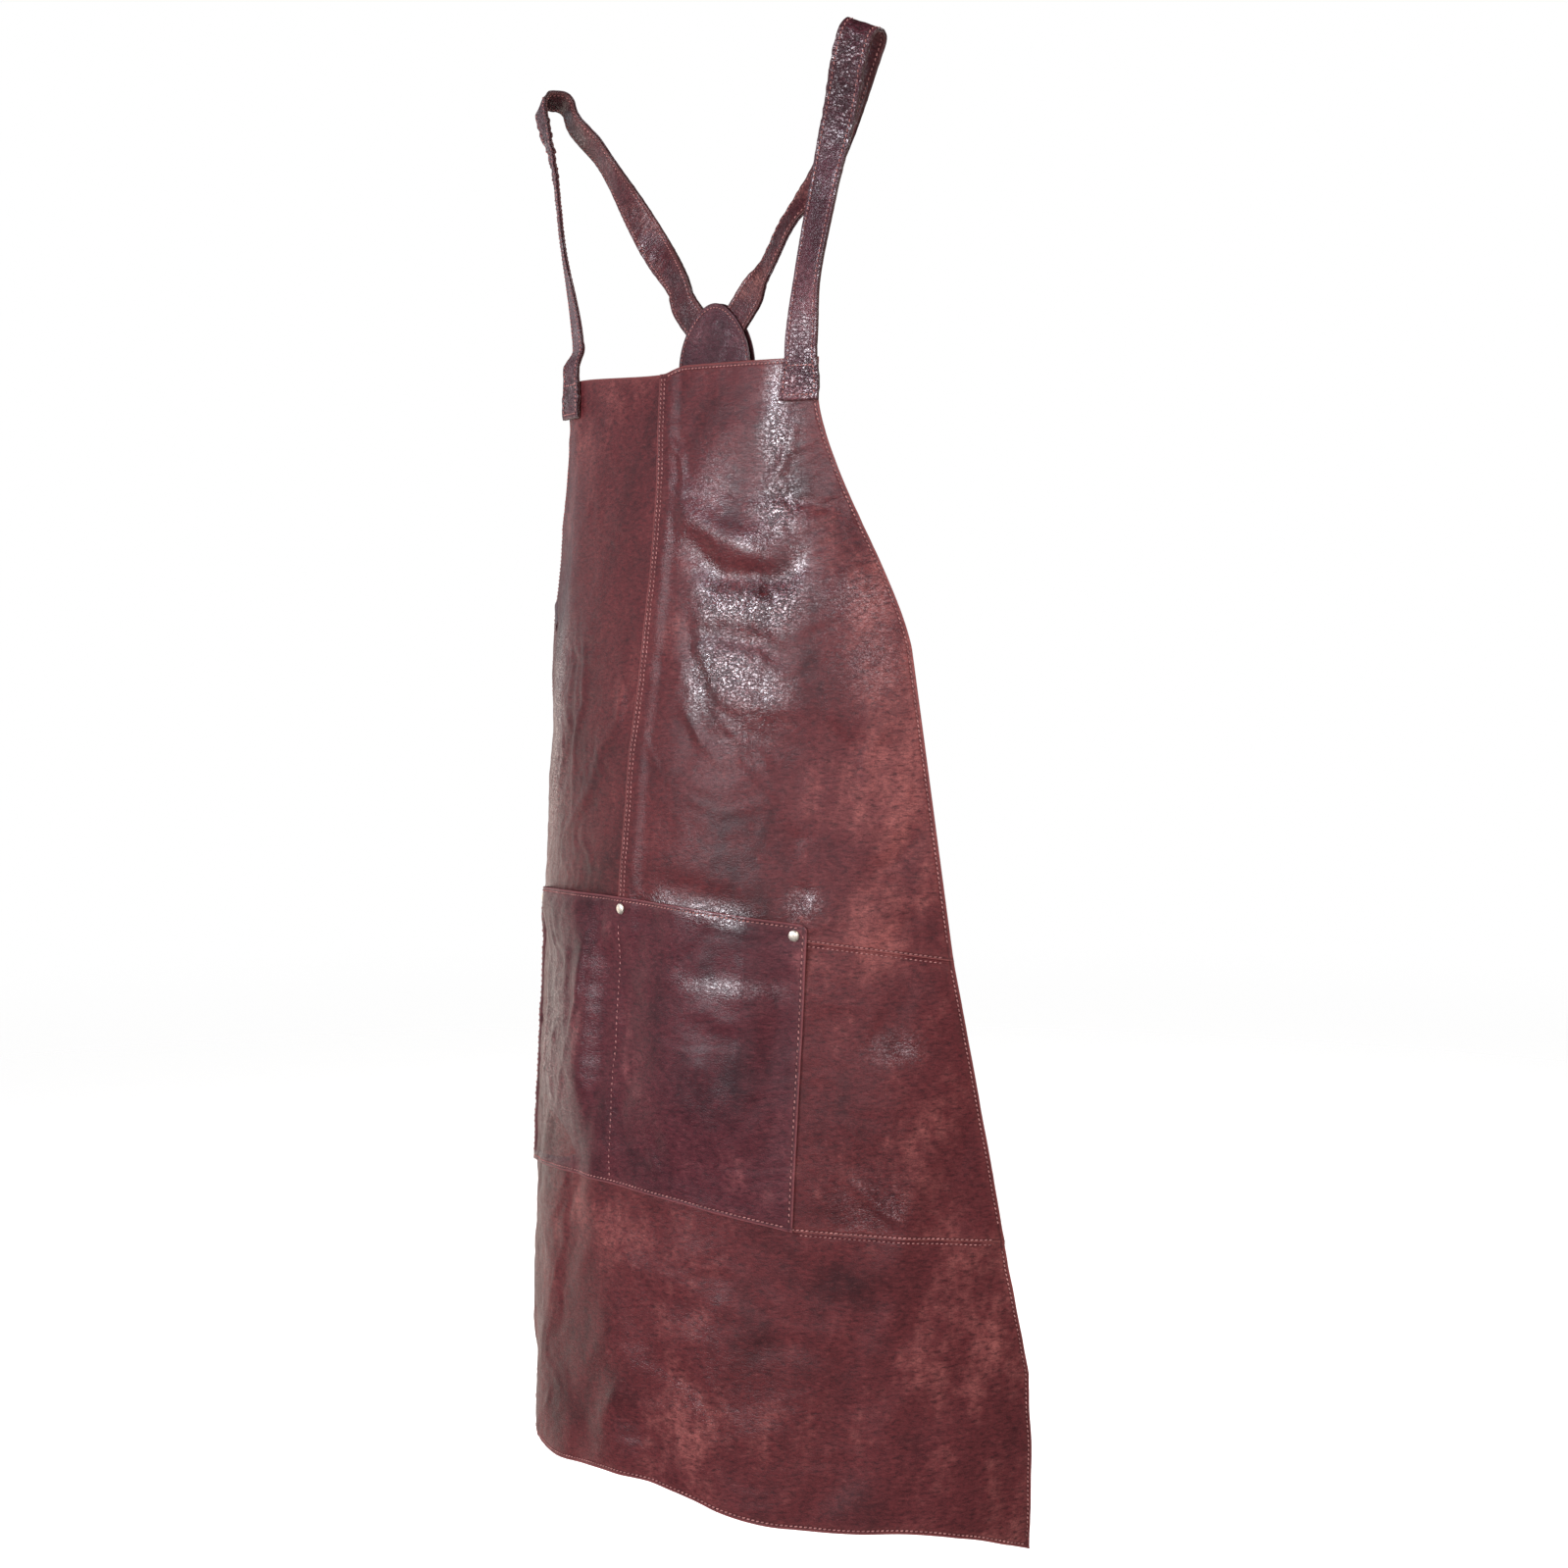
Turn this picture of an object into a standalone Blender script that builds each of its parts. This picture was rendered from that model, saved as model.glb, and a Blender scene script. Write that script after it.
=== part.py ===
"""Leather welding apron: a two-piece bib, a waist row, a skirt and a double patch pocket,
hung on two stitched shoulder straps that meet under a round back patch, with two lower
straps that buckle to tabs behind the waist corners.

Frame: metres, +Z up, the front of the apron faces -Y, the wearer's left is +X. The origin
lies midway between the two strap crowns, level with their undersides.
Panels are drawn on one curved sheet: u runs across it from the centre line, v runs down
from the top of the bib, and n is the distance in front of the sheet.
"""
import math

import bmesh
import bpy
from mathutils import Vector

# ---- leather ---------------------------------------------------------------------------
LEATHER = 0.0014           # thickness of every leather piece
GAP = 0.0003               # air left between touching pieces
LAYER = LEATHER + GAP      # pitch of stacked layers

# ---- the hanging sheet -----------------------------------------------------------------
STRAP_RISE = 0.238         # strap crowns above the top of the bib
BIB_FORWARD = 0.032        # bib top in front of the crowns
LEAN_DEPTH = 0.133         # how far the centre line swings forward, and over what length
LEAN_LENGTH = 1.0
TOP_CURVATURE = 1.81       # curvature across the sheet, 1/m, at the top of the bib
HANG_CURVATURE = 1.22      # what it gains over the first part of the bib
CURVATURE_LENGTH = 0.12
CURVATURE_SLOPE = 0.6      # what it gains for each metre further down

# ---- flat pattern ----------------------------------------------------------------------
HALF_TOP = 0.153           # half width of the bib at its top
ARMHOLE_TOP = 0.020        # the armhole starts and ends at these depths
ARMHOLE_END = 0.215
HALF_WAIST = 0.235         # half width at the waist corner
SIDE_STATIONS = ((ARMHOLE_END, HALF_WAIST), (0.445, 0.279), (0.661, 0.331), (0.771, 0.359),
                 (0.930, 0.371))
UPPER_SEAM = (0.426, 0.25)     # rows: depth on the centre line, and droop per u squared
LOWER_SEAM = (0.649, 0.11)
HEM = (0.872, 0.28)
POCKET_TOP = (0.414, 0.35)
POCKET_BOTTOM = (0.641, 0.55)
ROW_LAP = 0.012            # how far a lower row runs up behind the one above
EDGE_TRIM = 0.004          # how far an upper row's edge reaches past the seam line
CENTRE_LAP = 0.012         # how far the right bib panel runs behind the left one
CENTRE_BOW = 0.009         # the centre seam bows towards the wearer's left
CENTRE_BOW_LENGTH = 0.30
CENTRE_OFFSET = -0.004
POCKET_HALF = 0.170
POCKET_DEPTH = 0.0097      # how far each compartment stands off the waist row

# ---- rivets ----------------------------------------------------------------------------
RIVET_U = 0.160
RIVET_BELOW_TOP = 0.009
RIVET_CAP_R = 0.005
RIVET_CAP_H = 0.0022
RIVET_POST_R = 0.0016
RIVET_HOLE_R = 0.0019
RIVET_BACK_R = 0.0045
RIVET_BACK_H = 0.0012

# ---- shoulder straps -------------------------------------------------------------------
STRAP_WIDTH = 0.028
TAB_U = 0.139              # centre of the stitched strap end on the bib
TAB_LENGTH = 0.031
CROWN = Vector((0.186, 0.0, 0.0))          # crown of the left strap, on its underside
CROWN_ACROSS = Vector((0.86, 0.35, -0.37)).normalized()
CROWN_RADIUS = 0.008       # radius of the underside
CROWN_FLAT = 0.006
# The two straps twist differently between their ends. Each run has x towards its own side
# (1 left, -1 right): points up the front or down the back, and the direction across.
FRONT_RUNS = {
    1: (
        (Vector((0.1465, 0.0110, 0.060)), Vector((0.97, -0.03, 0.05))),
        (Vector((0.1570, 0.0165, 0.120)), Vector((0.97, 0.05, 0.02))),
        (Vector((0.1705, 0.0215, 0.180)), Vector((0.93, 0.28, -0.20))),
    ),
    -1: (
        (Vector((0.1405, 0.0201, 0.0299)), Vector((0.92, 0.40, -0.01))),
        (Vector((0.1576, 0.0179, 0.1143)), Vector((0.82, 0.56, 0.15))),
        (Vector((0.1733, 0.0210, 0.1829)), Vector((0.81, 0.58, -0.13))),
    ),
}
BACK_RUNS = {
    1: (
        (Vector((0.1163, 0.0600, 0.1495)), Vector((0.84, -0.03, -0.54))),
        (Vector((0.0838, 0.0511, 0.1123)), Vector((0.80, -0.43, -0.42))),
        (Vector((0.0585, 0.0497, 0.0778)), Vector((0.65, -0.42, -0.63))),
    ),
    -1: (
        (Vector((0.1481, 0.0515, 0.1915)), Vector((0.68, 0.41, -0.60))),
        (Vector((0.0834, 0.0574, 0.1079)), Vector((0.73, -0.23, -0.65))),
        (Vector((0.0478, 0.0505, 0.0752)), Vector((0.72, 0.05, -0.69))),
    ),
}
PATCH_RUN = (
    (Vector((0.0400, 0.0500, 0.0580)), Vector((0.71, 0.0, -0.70))),
    (Vector((0.0135, 0.0500, 0.0315)), Vector((0.71, 0.0, -0.70))),
)

# ---- back patch ------------------------------------------------------------------------
PATCH_PLANE = 0.050        # behind the bib top
PATCH_CENTRE_Z = 0.004     # above the bib top
PATCH_HALF_WIDTH = 0.043
PATCH_UP = 0.052
PATCH_DOWN = 0.050

# ---- lower straps, buckles and waist tabs ----------------------------------------------
LOWER_START = Vector((0.0125, 0.050, -0.013))    # inside the patch
LOWER_EXIT = Vector((0.036, 0.050, -0.0372))     # clear of the patch
LOWER_TURN = Vector((0.045, 0.050, -0.0465))     # where the strap leaves the patch's plane
ANCHOR_U = 0.197           # where the waist tab leaves the bib
ANCHOR_V = 0.195
TAB_STITCHED = 0.020       # stitched length of the tab, along u and along v
TAB_WIDTH = 0.026
BAR_AT = 0.060             # distances along the strap from the anchor
BUCKLE_LENGTH = 0.030
TIP_AT = 0.006
TAB_PLY_END = 0.014
KEEPER_AT = 0.034
KEEPER_LENGTH = 0.010
HOLE_PITCH = 0.022
HOLE_COUNT = 4
HOLE_R = 0.002
WIRE_R = 0.0015
FRAME_HALF = 0.0163
FRAME_CORNER = 0.004
ROLLER_R = 0.0028
ROLLER_BORE = 0.0018
ROLLER_LENGTH = 0.026
PRONG_RING_R = 0.0030
PRONG_WIDTH = 0.0024
PRONG_THICK = 0.0018
PRONG_SLOT = 0.0044        # slot in the strap and in the tab's fold that the prong passes

STRAP_SANDWICH = 2 * LEATHER + GAP
ROUND = 16                 # sides of a small round piece


def smooth(x):
    x = min(max(x, 0.0), 1.0)
    return x * x * (3 - 2 * x)


# ---- the sheet the panels are drawn on ---------------------------------------------------
def curvature(v):
    return TOP_CURVATURE + HANG_CURVATURE * (1 - math.exp(-v / CURVATURE_LENGTH)) + CURVATURE_SLOPE * v


def sheet_base(u, v):
    k = curvature(v)
    y = -BIB_FORWARD - LEAN_DEPTH * (1 - math.exp(-v / LEAN_LENGTH)) + (1 - math.cos(k * u)) / k
    return Vector((math.sin(k * u) / k, y, -STRAP_RISE - v))


def sheet_frame(u, v):
    step = 0.0005
    across = (sheet_base(u + step, v) - sheet_base(u - step, v)).normalized()
    down = (sheet_base(u, v + step) - sheet_base(u, v - step)).normalized()
    front = down.cross(across).normalized()
    return across, down, front


def sheet_point(u, v, n):
    return sheet_base(u, v) + sheet_frame(u, v)[2] * n


def half_width(v):
    if v < ARMHOLE_END:
        t = min(max((v - ARMHOLE_TOP) / (ARMHOLE_END - ARMHOLE_TOP), 0.0), 1.0)
        return HALF_TOP + (HALF_WAIST - HALF_TOP) * (0.5 * t ** 1.3 + 0.5 * smooth(t))
    for (v0, w0), (v1, w1) in zip(SIDE_STATIONS, SIDE_STATIONS[1:]):
        if v <= v1:
            return w0 + (w1 - w0) * (v - v0) / (v1 - v0)
    return SIDE_STATIONS[-1][1]


def row(line, u):
    return line[0] + line[1] * u * u


def centre_seam(v):
    return CENTRE_OFFSET + CENTRE_BOW * math.sin(math.pi * min(v / CENTRE_BOW_LENGTH, 1.0))


# ---- mesh helpers ----------------------------------------------------------------------
def material(name, colour, roughness, metallic=0.0):
    mat = bpy.data.materials.new(name)
    mat.use_nodes = True
    shader = mat.node_tree.nodes["Principled BSDF"]
    shader.inputs["Base Color"].default_value = (*colour, 1)
    shader.inputs["Roughness"].default_value = roughness
    shader.inputs["Metallic"].default_value = metallic
    return mat


def add_object(name, bm, finish, parent=None):
    """Turn a bmesh in world metres into an object, smooth-shaded where its faces meet gently."""
    bmesh.ops.recalc_face_normals(bm, faces=bm.faces)
    mesh = bpy.data.meshes.new(name)
    bm.to_mesh(mesh)
    bm.free()
    mesh.shade_smooth()
    mesh.set_sharp_from_angle(angle=math.radians(35))
    obj = bpy.data.objects.new(name, mesh)
    bpy.context.collection.objects.link(obj)
    obj.data.materials.append(material(name + "_finish", *finish))
    if parent is not None:
        obj.parent = parent
        obj.matrix_parent_inverse = parent.matrix_world.inverted()
    return obj


def grid_shell(front, back):
    """A closed thin solid between two grids of points of the same size."""
    bm = bmesh.new()
    rows, cols = len(front), len(front[0])
    f = [[bm.verts.new(p) for p in line] for line in front]
    b = [[bm.verts.new(p) for p in line] for line in back]
    for i in range(rows - 1):
        for j in range(cols - 1):
            bm.faces.new((f[i][j], f[i][j + 1], f[i + 1][j + 1], f[i + 1][j]))
            bm.faces.new((b[i][j], b[i + 1][j], b[i + 1][j + 1], b[i][j + 1]))
    rim = [(0, j) for j in range(cols)] + [(i, cols - 1) for i in range(1, rows)]
    rim += [(rows - 1, j) for j in range(cols - 2, -1, -1)] + [(i, 0) for i in range(rows - 2, 0, -1)]
    for (i, j), (k, m) in zip(rim, rim[1:] + rim[:1]):
        bm.faces.new((f[i][j], b[i][j], b[k][m], f[k][m]))
    bmesh.ops.triangulate(bm, faces=bm.faces)
    return bm


def spread(count):
    return [i / count for i in range(count + 1)]


def panel(name, left, right, top, bottom, level, across, down):
    """A leather panel between edge functions left(v), right(v), top(u) and bottom(u)."""
    front, back = [], []
    for t in down:
        front_row, back_row = [], []
        for s in across:
            v = top(0) + (bottom(0) - top(0)) * t
            for _ in range(3):
                u = left(v) + (right(v) - left(v)) * s
                v = top(u) + (bottom(u) - top(u)) * t
            n = level(u, v)
            front_row.append(sheet_point(u, v, n + LEATHER / 2))
            back_row.append(sheet_point(u, v, n - LEATHER / 2))
        front.append(front_row)
        back.append(back_row)
    return add_object(name, grid_shell(front, back), LEATHER_FINISH)


def turned(profile, origin, axis):
    """A closed solid of revolution: profile of (radius, height), first and last on the axis
    or forming a closed ring when it repeats its first point."""
    bm = bmesh.new()
    basis = axis.to_track_quat("Z", "X").to_matrix()
    rings = []
    for r, h in profile:
        if r == 0:
            rings.append([bm.verts.new(origin + basis @ Vector((0, 0, h)))])
            continue
        ring = []
        for i in range(ROUND):
            a = 2 * math.pi * i / ROUND
            ring.append(bm.verts.new(origin + basis @ Vector((r * math.cos(a), r * math.sin(a), h))))
        rings.append(ring)
    closed = rings[0][0].co == rings[-1][0].co and len(rings[0]) > 1
    pairs = list(zip(rings, rings[1:]))
    if closed:
        for vert in rings[-1]:
            bm.verts.remove(vert)
        pairs = list(zip(rings[:-1], rings[1:-1] + rings[:1]))
    for one, two in pairs:
        for i in range(ROUND):
            k = (i + 1) % ROUND
            loop = [one[i % len(one)], one[k % len(one)], two[k % len(two)], two[i % len(two)]]
            bm.faces.new(list(dict.fromkeys(loop)))
    bmesh.ops.triangulate(bm, faces=bm.faces)
    return bm


def mirrored(vector, side):
    return Vector((vector.x * side, vector.y, vector.z))


def hermite(points, first, last, steps):
    """A smooth curve through points with given end directions, and the fraction along each span."""
    tangents = [first.normalized()]
    for a, b in zip(points, points[2:]):
        tangents.append((b - a).normalized())
    tangents.append(last.normalized())
    out = []
    for i in range(len(points) - 1):
        p, q = points[i], points[i + 1]
        span = (q - p).length
        for k in range(steps if i < len(points) - 2 else steps + 1):
            t = k / steps
            h = (2 * t ** 3 - 3 * t ** 2 + 1, t ** 3 - 2 * t ** 2 + t, -2 * t ** 3 + 3 * t ** 2, t ** 3 - t ** 2)
            out.append((h[0] * p + h[1] * span * tangents[i] + h[2] * q + h[3] * span * tangents[i + 1], i + t))
    return out


def run(stations, first, last, steps):
    """Frames (centre, across) along a strap run, from stations of (centre, across)."""
    curve = hermite([s[0] for s in stations], first, last, steps)
    frames = []
    for point, place in curve:
        i = min(int(place), len(stations) - 2)
        t = place - i
        across = stations[i][1].normalized().lerp(stations[i + 1][1].normalized(), smooth(t))
        frames.append((point, across))
    return frames


def ribbon_rows(frames, width, low, high):
    """Front and back point rows of a ribbon whose faces lie low and high along its normal."""
    rows_high, rows_low = [], []
    count = len(frames)
    for i, (point, across) in enumerate(frames):
        along = (frames[min(i + 1, count - 1)][0] - frames[max(i - 1, 0)][0]).normalized()
        across = (across - along * across.dot(along)).normalized()
        out = across.cross(along).normalized()
        ends = (point - across * width / 2, point + across * width / 2)
        rows_high.append([p + out * high for p in ends])
        rows_low.append([p + out * low for p in ends])
    return rows_high, rows_low


def ribbon(name, frames, width, low, high, side, finish):
    rows_high, rows_low = ribbon_rows(frames, width, low, high)
    flip = [[mirrored(p, side) for p in line] for line in rows_high]
    flop = [[mirrored(p, side) for p in line] for line in rows_low]
    return add_object(name, grid_shell(flip, flop), finish)


def cutter(name, bm):
    """A tool that removes holes and is itself left out of the model."""
    obj = add_object(name, bm, (TOOL_COLOUR, 0.5))
    obj.hide_render = True
    obj.display_type = "WIRE"
    return obj


def cut(obj, tool):
    mod = obj.modifiers.new("cut_" + tool.name, "BOOLEAN")
    mod.operation = "DIFFERENCE"
    mod.object = tool


LEATHER_COLOUR = (0.135, 0.042, 0.046)
LINING_COLOUR = (0.17, 0.085, 0.075)
STEEL_COLOUR = (0.72, 0.70, 0.68)
TOOL_COLOUR = (0.9, 0.1, 0.1)
LEATHER_FINISH = (LEATHER_COLOUR, 0.35)
LINING_FINISH = (LINING_COLOUR, 0.6)
STEEL_FINISH = (STEEL_COLOUR, 0.25, 1.0)


# ---- body panels -----------------------------------------------------------------------
def bib_bottom(u):
    return row(UPPER_SEAM, u) + EDGE_TRIM


def waist_bottom(u):
    return row(LOWER_SEAM, u) + EDGE_TRIM


def build_panels():
    """Rows shingle downwards: skirt at layer 0, waist at 1, bib at 2, lapped bib edge at 3."""
    bib_right = panel("bib_panel_right", lambda v: -half_width(v), lambda v: centre_seam(v) + CENTRE_LAP,
                      lambda u: 0.0, bib_bottom, lambda u, v: 2 * LAYER, spread(20), spread(10))

    def left_level(u, v):
        return 2 * LAYER + LAYER * (1 - smooth((u - centre_seam(v) - CENTRE_LAP - 0.001) / 0.012))

    lap_columns = [0, 0.025, 0.05, 0.07, 0.09, 0.11] + [0.11 + 0.89 * (i + 1) / 17 for i in range(17)]
    bib_left = panel("bib_panel_left", centre_seam, half_width, lambda u: 0.0, bib_bottom,
                     left_level, lap_columns, spread(10))
    waist = panel("waist_panel", lambda v: -half_width(v), half_width,
                  lambda u: row(UPPER_SEAM, u) - ROW_LAP, waist_bottom, lambda u, v: LAYER,
                  spread(40), spread(4))
    panel("skirt_panel", lambda v: -half_width(v), half_width,
          lambda u: row(LOWER_SEAM, u) - ROW_LAP, lambda u: row(HEM, u), lambda u, v: 0.0,
          spread(40), spread(4))
    return bib_left, bib_right, waist


def pocket_level(u, v):
    """The pocket lies on the waist row at its stitched edges, steps over the bib at its mouth
    and stands off in each of its two compartments."""
    below = v - row(POCKET_TOP, u)
    over_lap = 1 - smooth((abs(u) - 0.012) / 0.012)
    at_mouth = LAYER * (1 + over_lap) * (1 - smooth((below - 0.023) / 0.030))
    from_side = min(abs(u), POCKET_HALF - abs(u))
    bulge = smooth((from_side - 0.014) / 0.035) * smooth((row(POCKET_BOTTOM, u) - v - 0.010) / 0.070)
    return 2 * LAYER + at_mouth * (1 - bulge) + POCKET_DEPTH * bulge


def build_pocket():
    half = [0, 0.04, 0.08, 0.13, 0.19, 0.25, 0.33, 0.41, 0.50, 0.59, 0.67, 0.75, 0.81, 0.87, 0.92, 0.96, 1]
    columns = [0.5 * s for s in half] + [0.5 + 0.5 * s for s in half[1:]]
    rows = [0, 0.07, 0.12, 0.17, 0.23, 0.30, 0.50, 0.68, 0.80, 0.90, 0.96, 1]
    return panel("pocket_leaf", lambda v: -POCKET_HALF, lambda v: POCKET_HALF,
                 lambda u: row(POCKET_TOP, u), lambda u: row(POCKET_BOTTOM, u),
                 pocket_level, columns, rows)


def build_rivets(pierced):
    """Three rivets through the pocket's mouth, the bib's lower edge and the waist row."""
    for place, u in (("left", RIVET_U), ("centre", 0.002), ("right", -RIVET_U)):
        v = row(POCKET_TOP, u) + RIVET_BELOW_TOP
        front = sheet_frame(u, v)[2]
        leaf = pocket_level(u, v) + LEATHER / 2 + GAP
        back = LAYER - LEATHER / 2 - GAP
        dome = [(0, RIVET_CAP_H)]
        for i in range(1, 5):
            a = math.radians(22.5 * i)
            dome.append((RIVET_CAP_R * math.sin(a), 0.0006 + (RIVET_CAP_H - 0.0006) * math.cos(a)))
        dome += [(RIVET_CAP_R, 0), (RIVET_POST_R, 0), (RIVET_POST_R, back - leaf - 0.001), (0, back - leaf - 0.001)]
        add_object(f"rivet_cap_{place}", turned(dome, sheet_point(u, v, leaf), front), STEEL_FINISH)
        bevel = 0.0003
        washer = [(RIVET_HOLE_R, 0), (RIVET_BACK_R, 0), (RIVET_BACK_R, bevel - RIVET_BACK_H),
                  (RIVET_BACK_R - bevel, -RIVET_BACK_H), (RIVET_HOLE_R, -RIVET_BACK_H), (RIVET_HOLE_R, 0)]
        add_object(f"rivet_burr_{place}", turned(washer, sheet_point(u, v, back), front), STEEL_FINISH)
        plug = [(0, 0.02), (RIVET_HOLE_R, 0.02), (RIVET_HOLE_R, -0.02), (0, -0.02)]
        tool = cutter(f"rivet_hole_{place}", turned(plug, sheet_point(u, v, leaf), front))
        for obj in pierced:
            cut(obj, tool)


# ---- shoulder straps and back patch ------------------------------------------------------
def from_bib(point):
    """Turn a place given from the bib's top centre into world coordinates."""
    return Vector((point.x, point.y - BIB_FORWARD, point.z - STRAP_RISE))


def crown_frames():
    """The strap bends over the crown on an arc with a short flat at its top."""
    across = CROWN_ACROSS
    level = Vector((-across.y, across.x, 0)).normalized()
    up = across.cross(level).normalized()
    radius = CROWN_RADIUS + STRAP_SANDWICH / 2
    centre = CROWN - up * CROWN_RADIUS
    frames = []
    for i in range(9):
        a = math.pi * i / 8
        flat = level * (-CROWN_FLAT / 2 if i <= 4 else CROWN_FLAT / 2)
        frames.append((centre + flat + (up * math.sin(a) - level * math.cos(a)) * radius, across))
        if i == 4:
            frames.append((centre - flat + up * radius, across))
    return frames, up


def shoulder_frames(side):
    crown, up = crown_frames()
    stand_off = 2 * LAYER + LEATHER / 2 + GAP + 0.0004 + STRAP_SANDWICH / 2
    tab = []
    for v in (TAB_LENGTH, TAB_LENGTH * 0.66, TAB_LENGTH * 0.33, 0.0, -0.012):
        tab.append((sheet_point(TAB_U, v, stand_off), sheet_frame(TAB_U, v)[0]))
    front = tab + [(from_bib(p), w) for p, w in FRONT_RUNS[side]] + [crown[0]]
    back = [crown[-1]] + [(from_bib(p), w) for p, w in BACK_RUNS[side] + PATCH_RUN]
    rising = run(front, Vector((0, 0, 1)), up, 3)
    falling = run(back, -up, back[-1][0] - back[-2][0], 5)
    return rising[:-1] + crown + falling[1:]


def build_shoulder_straps():
    inner = -STRAP_SANDWICH / 2
    for label, side in (("left", 1), ("right", -1)):
        frames = shoulder_frames(side)
        ribbon(f"shoulder_strap_{label}_lining", frames, STRAP_WIDTH, inner, inner + LEATHER, side, LINING_FINISH)
        ribbon(f"shoulder_strap_{label}_outer", frames, STRAP_WIDTH, -inner - LEATHER, -inner, side, LEATHER_FINISH)


def build_patch():
    """Two egg-shaped leaves with the four strap ends between them."""
    count = 40
    outline = []
    for i in range(count):
        a = 2 * math.pi * i / count
        reach = PATCH_UP if math.sin(a) > 0 else PATCH_DOWN
        taper = 1 - 0.16 * max(math.sin(a), 0) ** 2
        outline.append((PATCH_HALF_WIDTH * taper * math.cos(a), PATCH_CENTRE_Z + reach * math.sin(a)))
    inside = STRAP_SANDWICH / 2 + GAP
    for name, near, far in (("back_patch_outer", inside, inside + LEATHER),
                            ("back_patch_inner", -inside - LEATHER, -inside)):
        bm = bmesh.new()
        face = bm.faces.new([bm.verts.new(from_bib(Vector((x, PATCH_PLANE + near, z)))) for x, z in outline])
        made = bmesh.ops.extrude_face_region(bm, geom=[face])
        moved = [g for g in made["geom"] if isinstance(g, bmesh.types.BMVert)]
        bmesh.ops.translate(bm, verts=moved, vec=Vector((0, far - near, 0)))
        bmesh.ops.triangulate(bm, faces=bm.faces)
        add_object(name, bm, LEATHER_FINISH)


# ---- lower straps, tabs and buckles --------------------------------------------------------
class StrapLine:
    """The straight stretch from the waist tab's anchor to the back patch: s runs along it from
    the anchor, n points to the back of the apron and w runs across the strap."""

    def __init__(self):
        self.anchor = sheet_point(ANCHOR_U, ANCHOR_V, LAYER - 0.0003)
        turn = from_bib(LOWER_TURN)
        self.length = (turn - self.anchor).length
        self.along = (turn - self.anchor).normalized()
        wide, down, front = sheet_frame(ANCHOR_U, ANCHOR_V)
        across = wide - down
        self.across = (across - self.along * across.dot(self.along)).normalized()
        self.out = self.along.cross(self.across).normalized()

    def at(self, s, n=0.0, w=0.0):
        return self.anchor + self.along * s + self.out * n + self.across * w


def lower_frames(line):
    """From the patch, under the roller, up through the buckle and down along the tab."""
    under = -(ROLLER_R + 0.0004 + STRAP_SANDWICH / 2)
    over = WIRE_R + 2 * GAP + LEATHER + GAP + STRAP_SANDWICH / 2
    resting = STRAP_SANDWICH + GAP + 0.0003
    roller_at = BAR_AT + BUCKLE_LENGTH
    stations = [from_bib(LOWER_START), from_bib(LOWER_EXIT), from_bib(LOWER_TURN)]
    profile = ((0.045, 0), (0.022, -0.0012), (0.008, under - 0.0002), (0, under), (-0.007, 0.82 * under),
               (-0.015, 0.0), (-0.0225, 0.80 * over), (-0.028, over + 0.0003), (-0.032, over + 0.0001),
               (-0.040, resting + 0.0006), (-0.047, resting))
    pairs = [(p, PATCH_RUN[-1][1].reflect(Vector((0, 0, 1)))) for p in stations]
    pairs += [(line.at(roller_at + ds, n), line.across) for ds, n in profile]
    pairs.append((line.at(TIP_AT, resting), line.across))
    return run(pairs, from_bib(LOWER_TURN) - from_bib(LOWER_START), -line.along, 3)


def tab_frames(line):
    """Stitched to the bib's back, free to the buckle bar, round it and back on itself."""
    stations = []
    for step in (1.0, 0.5, 0.0):
        u, v = ANCHOR_U + TAB_STITCHED * step, ANCHOR_V + TAB_STITCHED * step
        wide, down, front = sheet_frame(u, v)
        stations.append((sheet_point(u, v, LAYER - 0.0004), (wide - down).normalized()))
    pinch = LEATHER / 2 + GAP / 2
    radius = WIRE_R + GAP + LEATHER / 2
    for s in (0.012, 0.026, 0.040):
        stations.append((line.at(s, -pinch), line.across))
    stations.append((line.at(BAR_AT - 0.008, -0.7 * radius), line.across))
    for i in range(7):
        a = math.pi * (i / 6 - 0.5)
        stations.append((line.at(BAR_AT + radius * math.cos(a), radius * math.sin(a)), line.across))
    stations.append((line.at(BAR_AT - 0.008, 0.7 * radius), line.across))
    for s in (0.040, 0.026, TAB_PLY_END):
        stations.append((line.at(s, pinch), line.across))
    first = stations[1][0] - stations[0][0]
    return run(stations, first, -line.along, 2)


def slot_tool(name, line, side, s0, s1, n0, n1, width):
    bm = bmesh.new()
    corners = [mirrored(line.at(s, n, w), side) for s in (s0, s1) for n in (n0, n1) for w in (-width / 2, width / 2)]
    v = [bm.verts.new(c) for c in corners]
    for loop in ((0, 1, 3, 2), (4, 6, 7, 5), (0, 4, 5, 1), (2, 3, 7, 6), (0, 2, 6, 4), (1, 5, 7, 3)):
        bm.faces.new([v[i] for i in loop])
    return cutter(name, bm)


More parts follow.
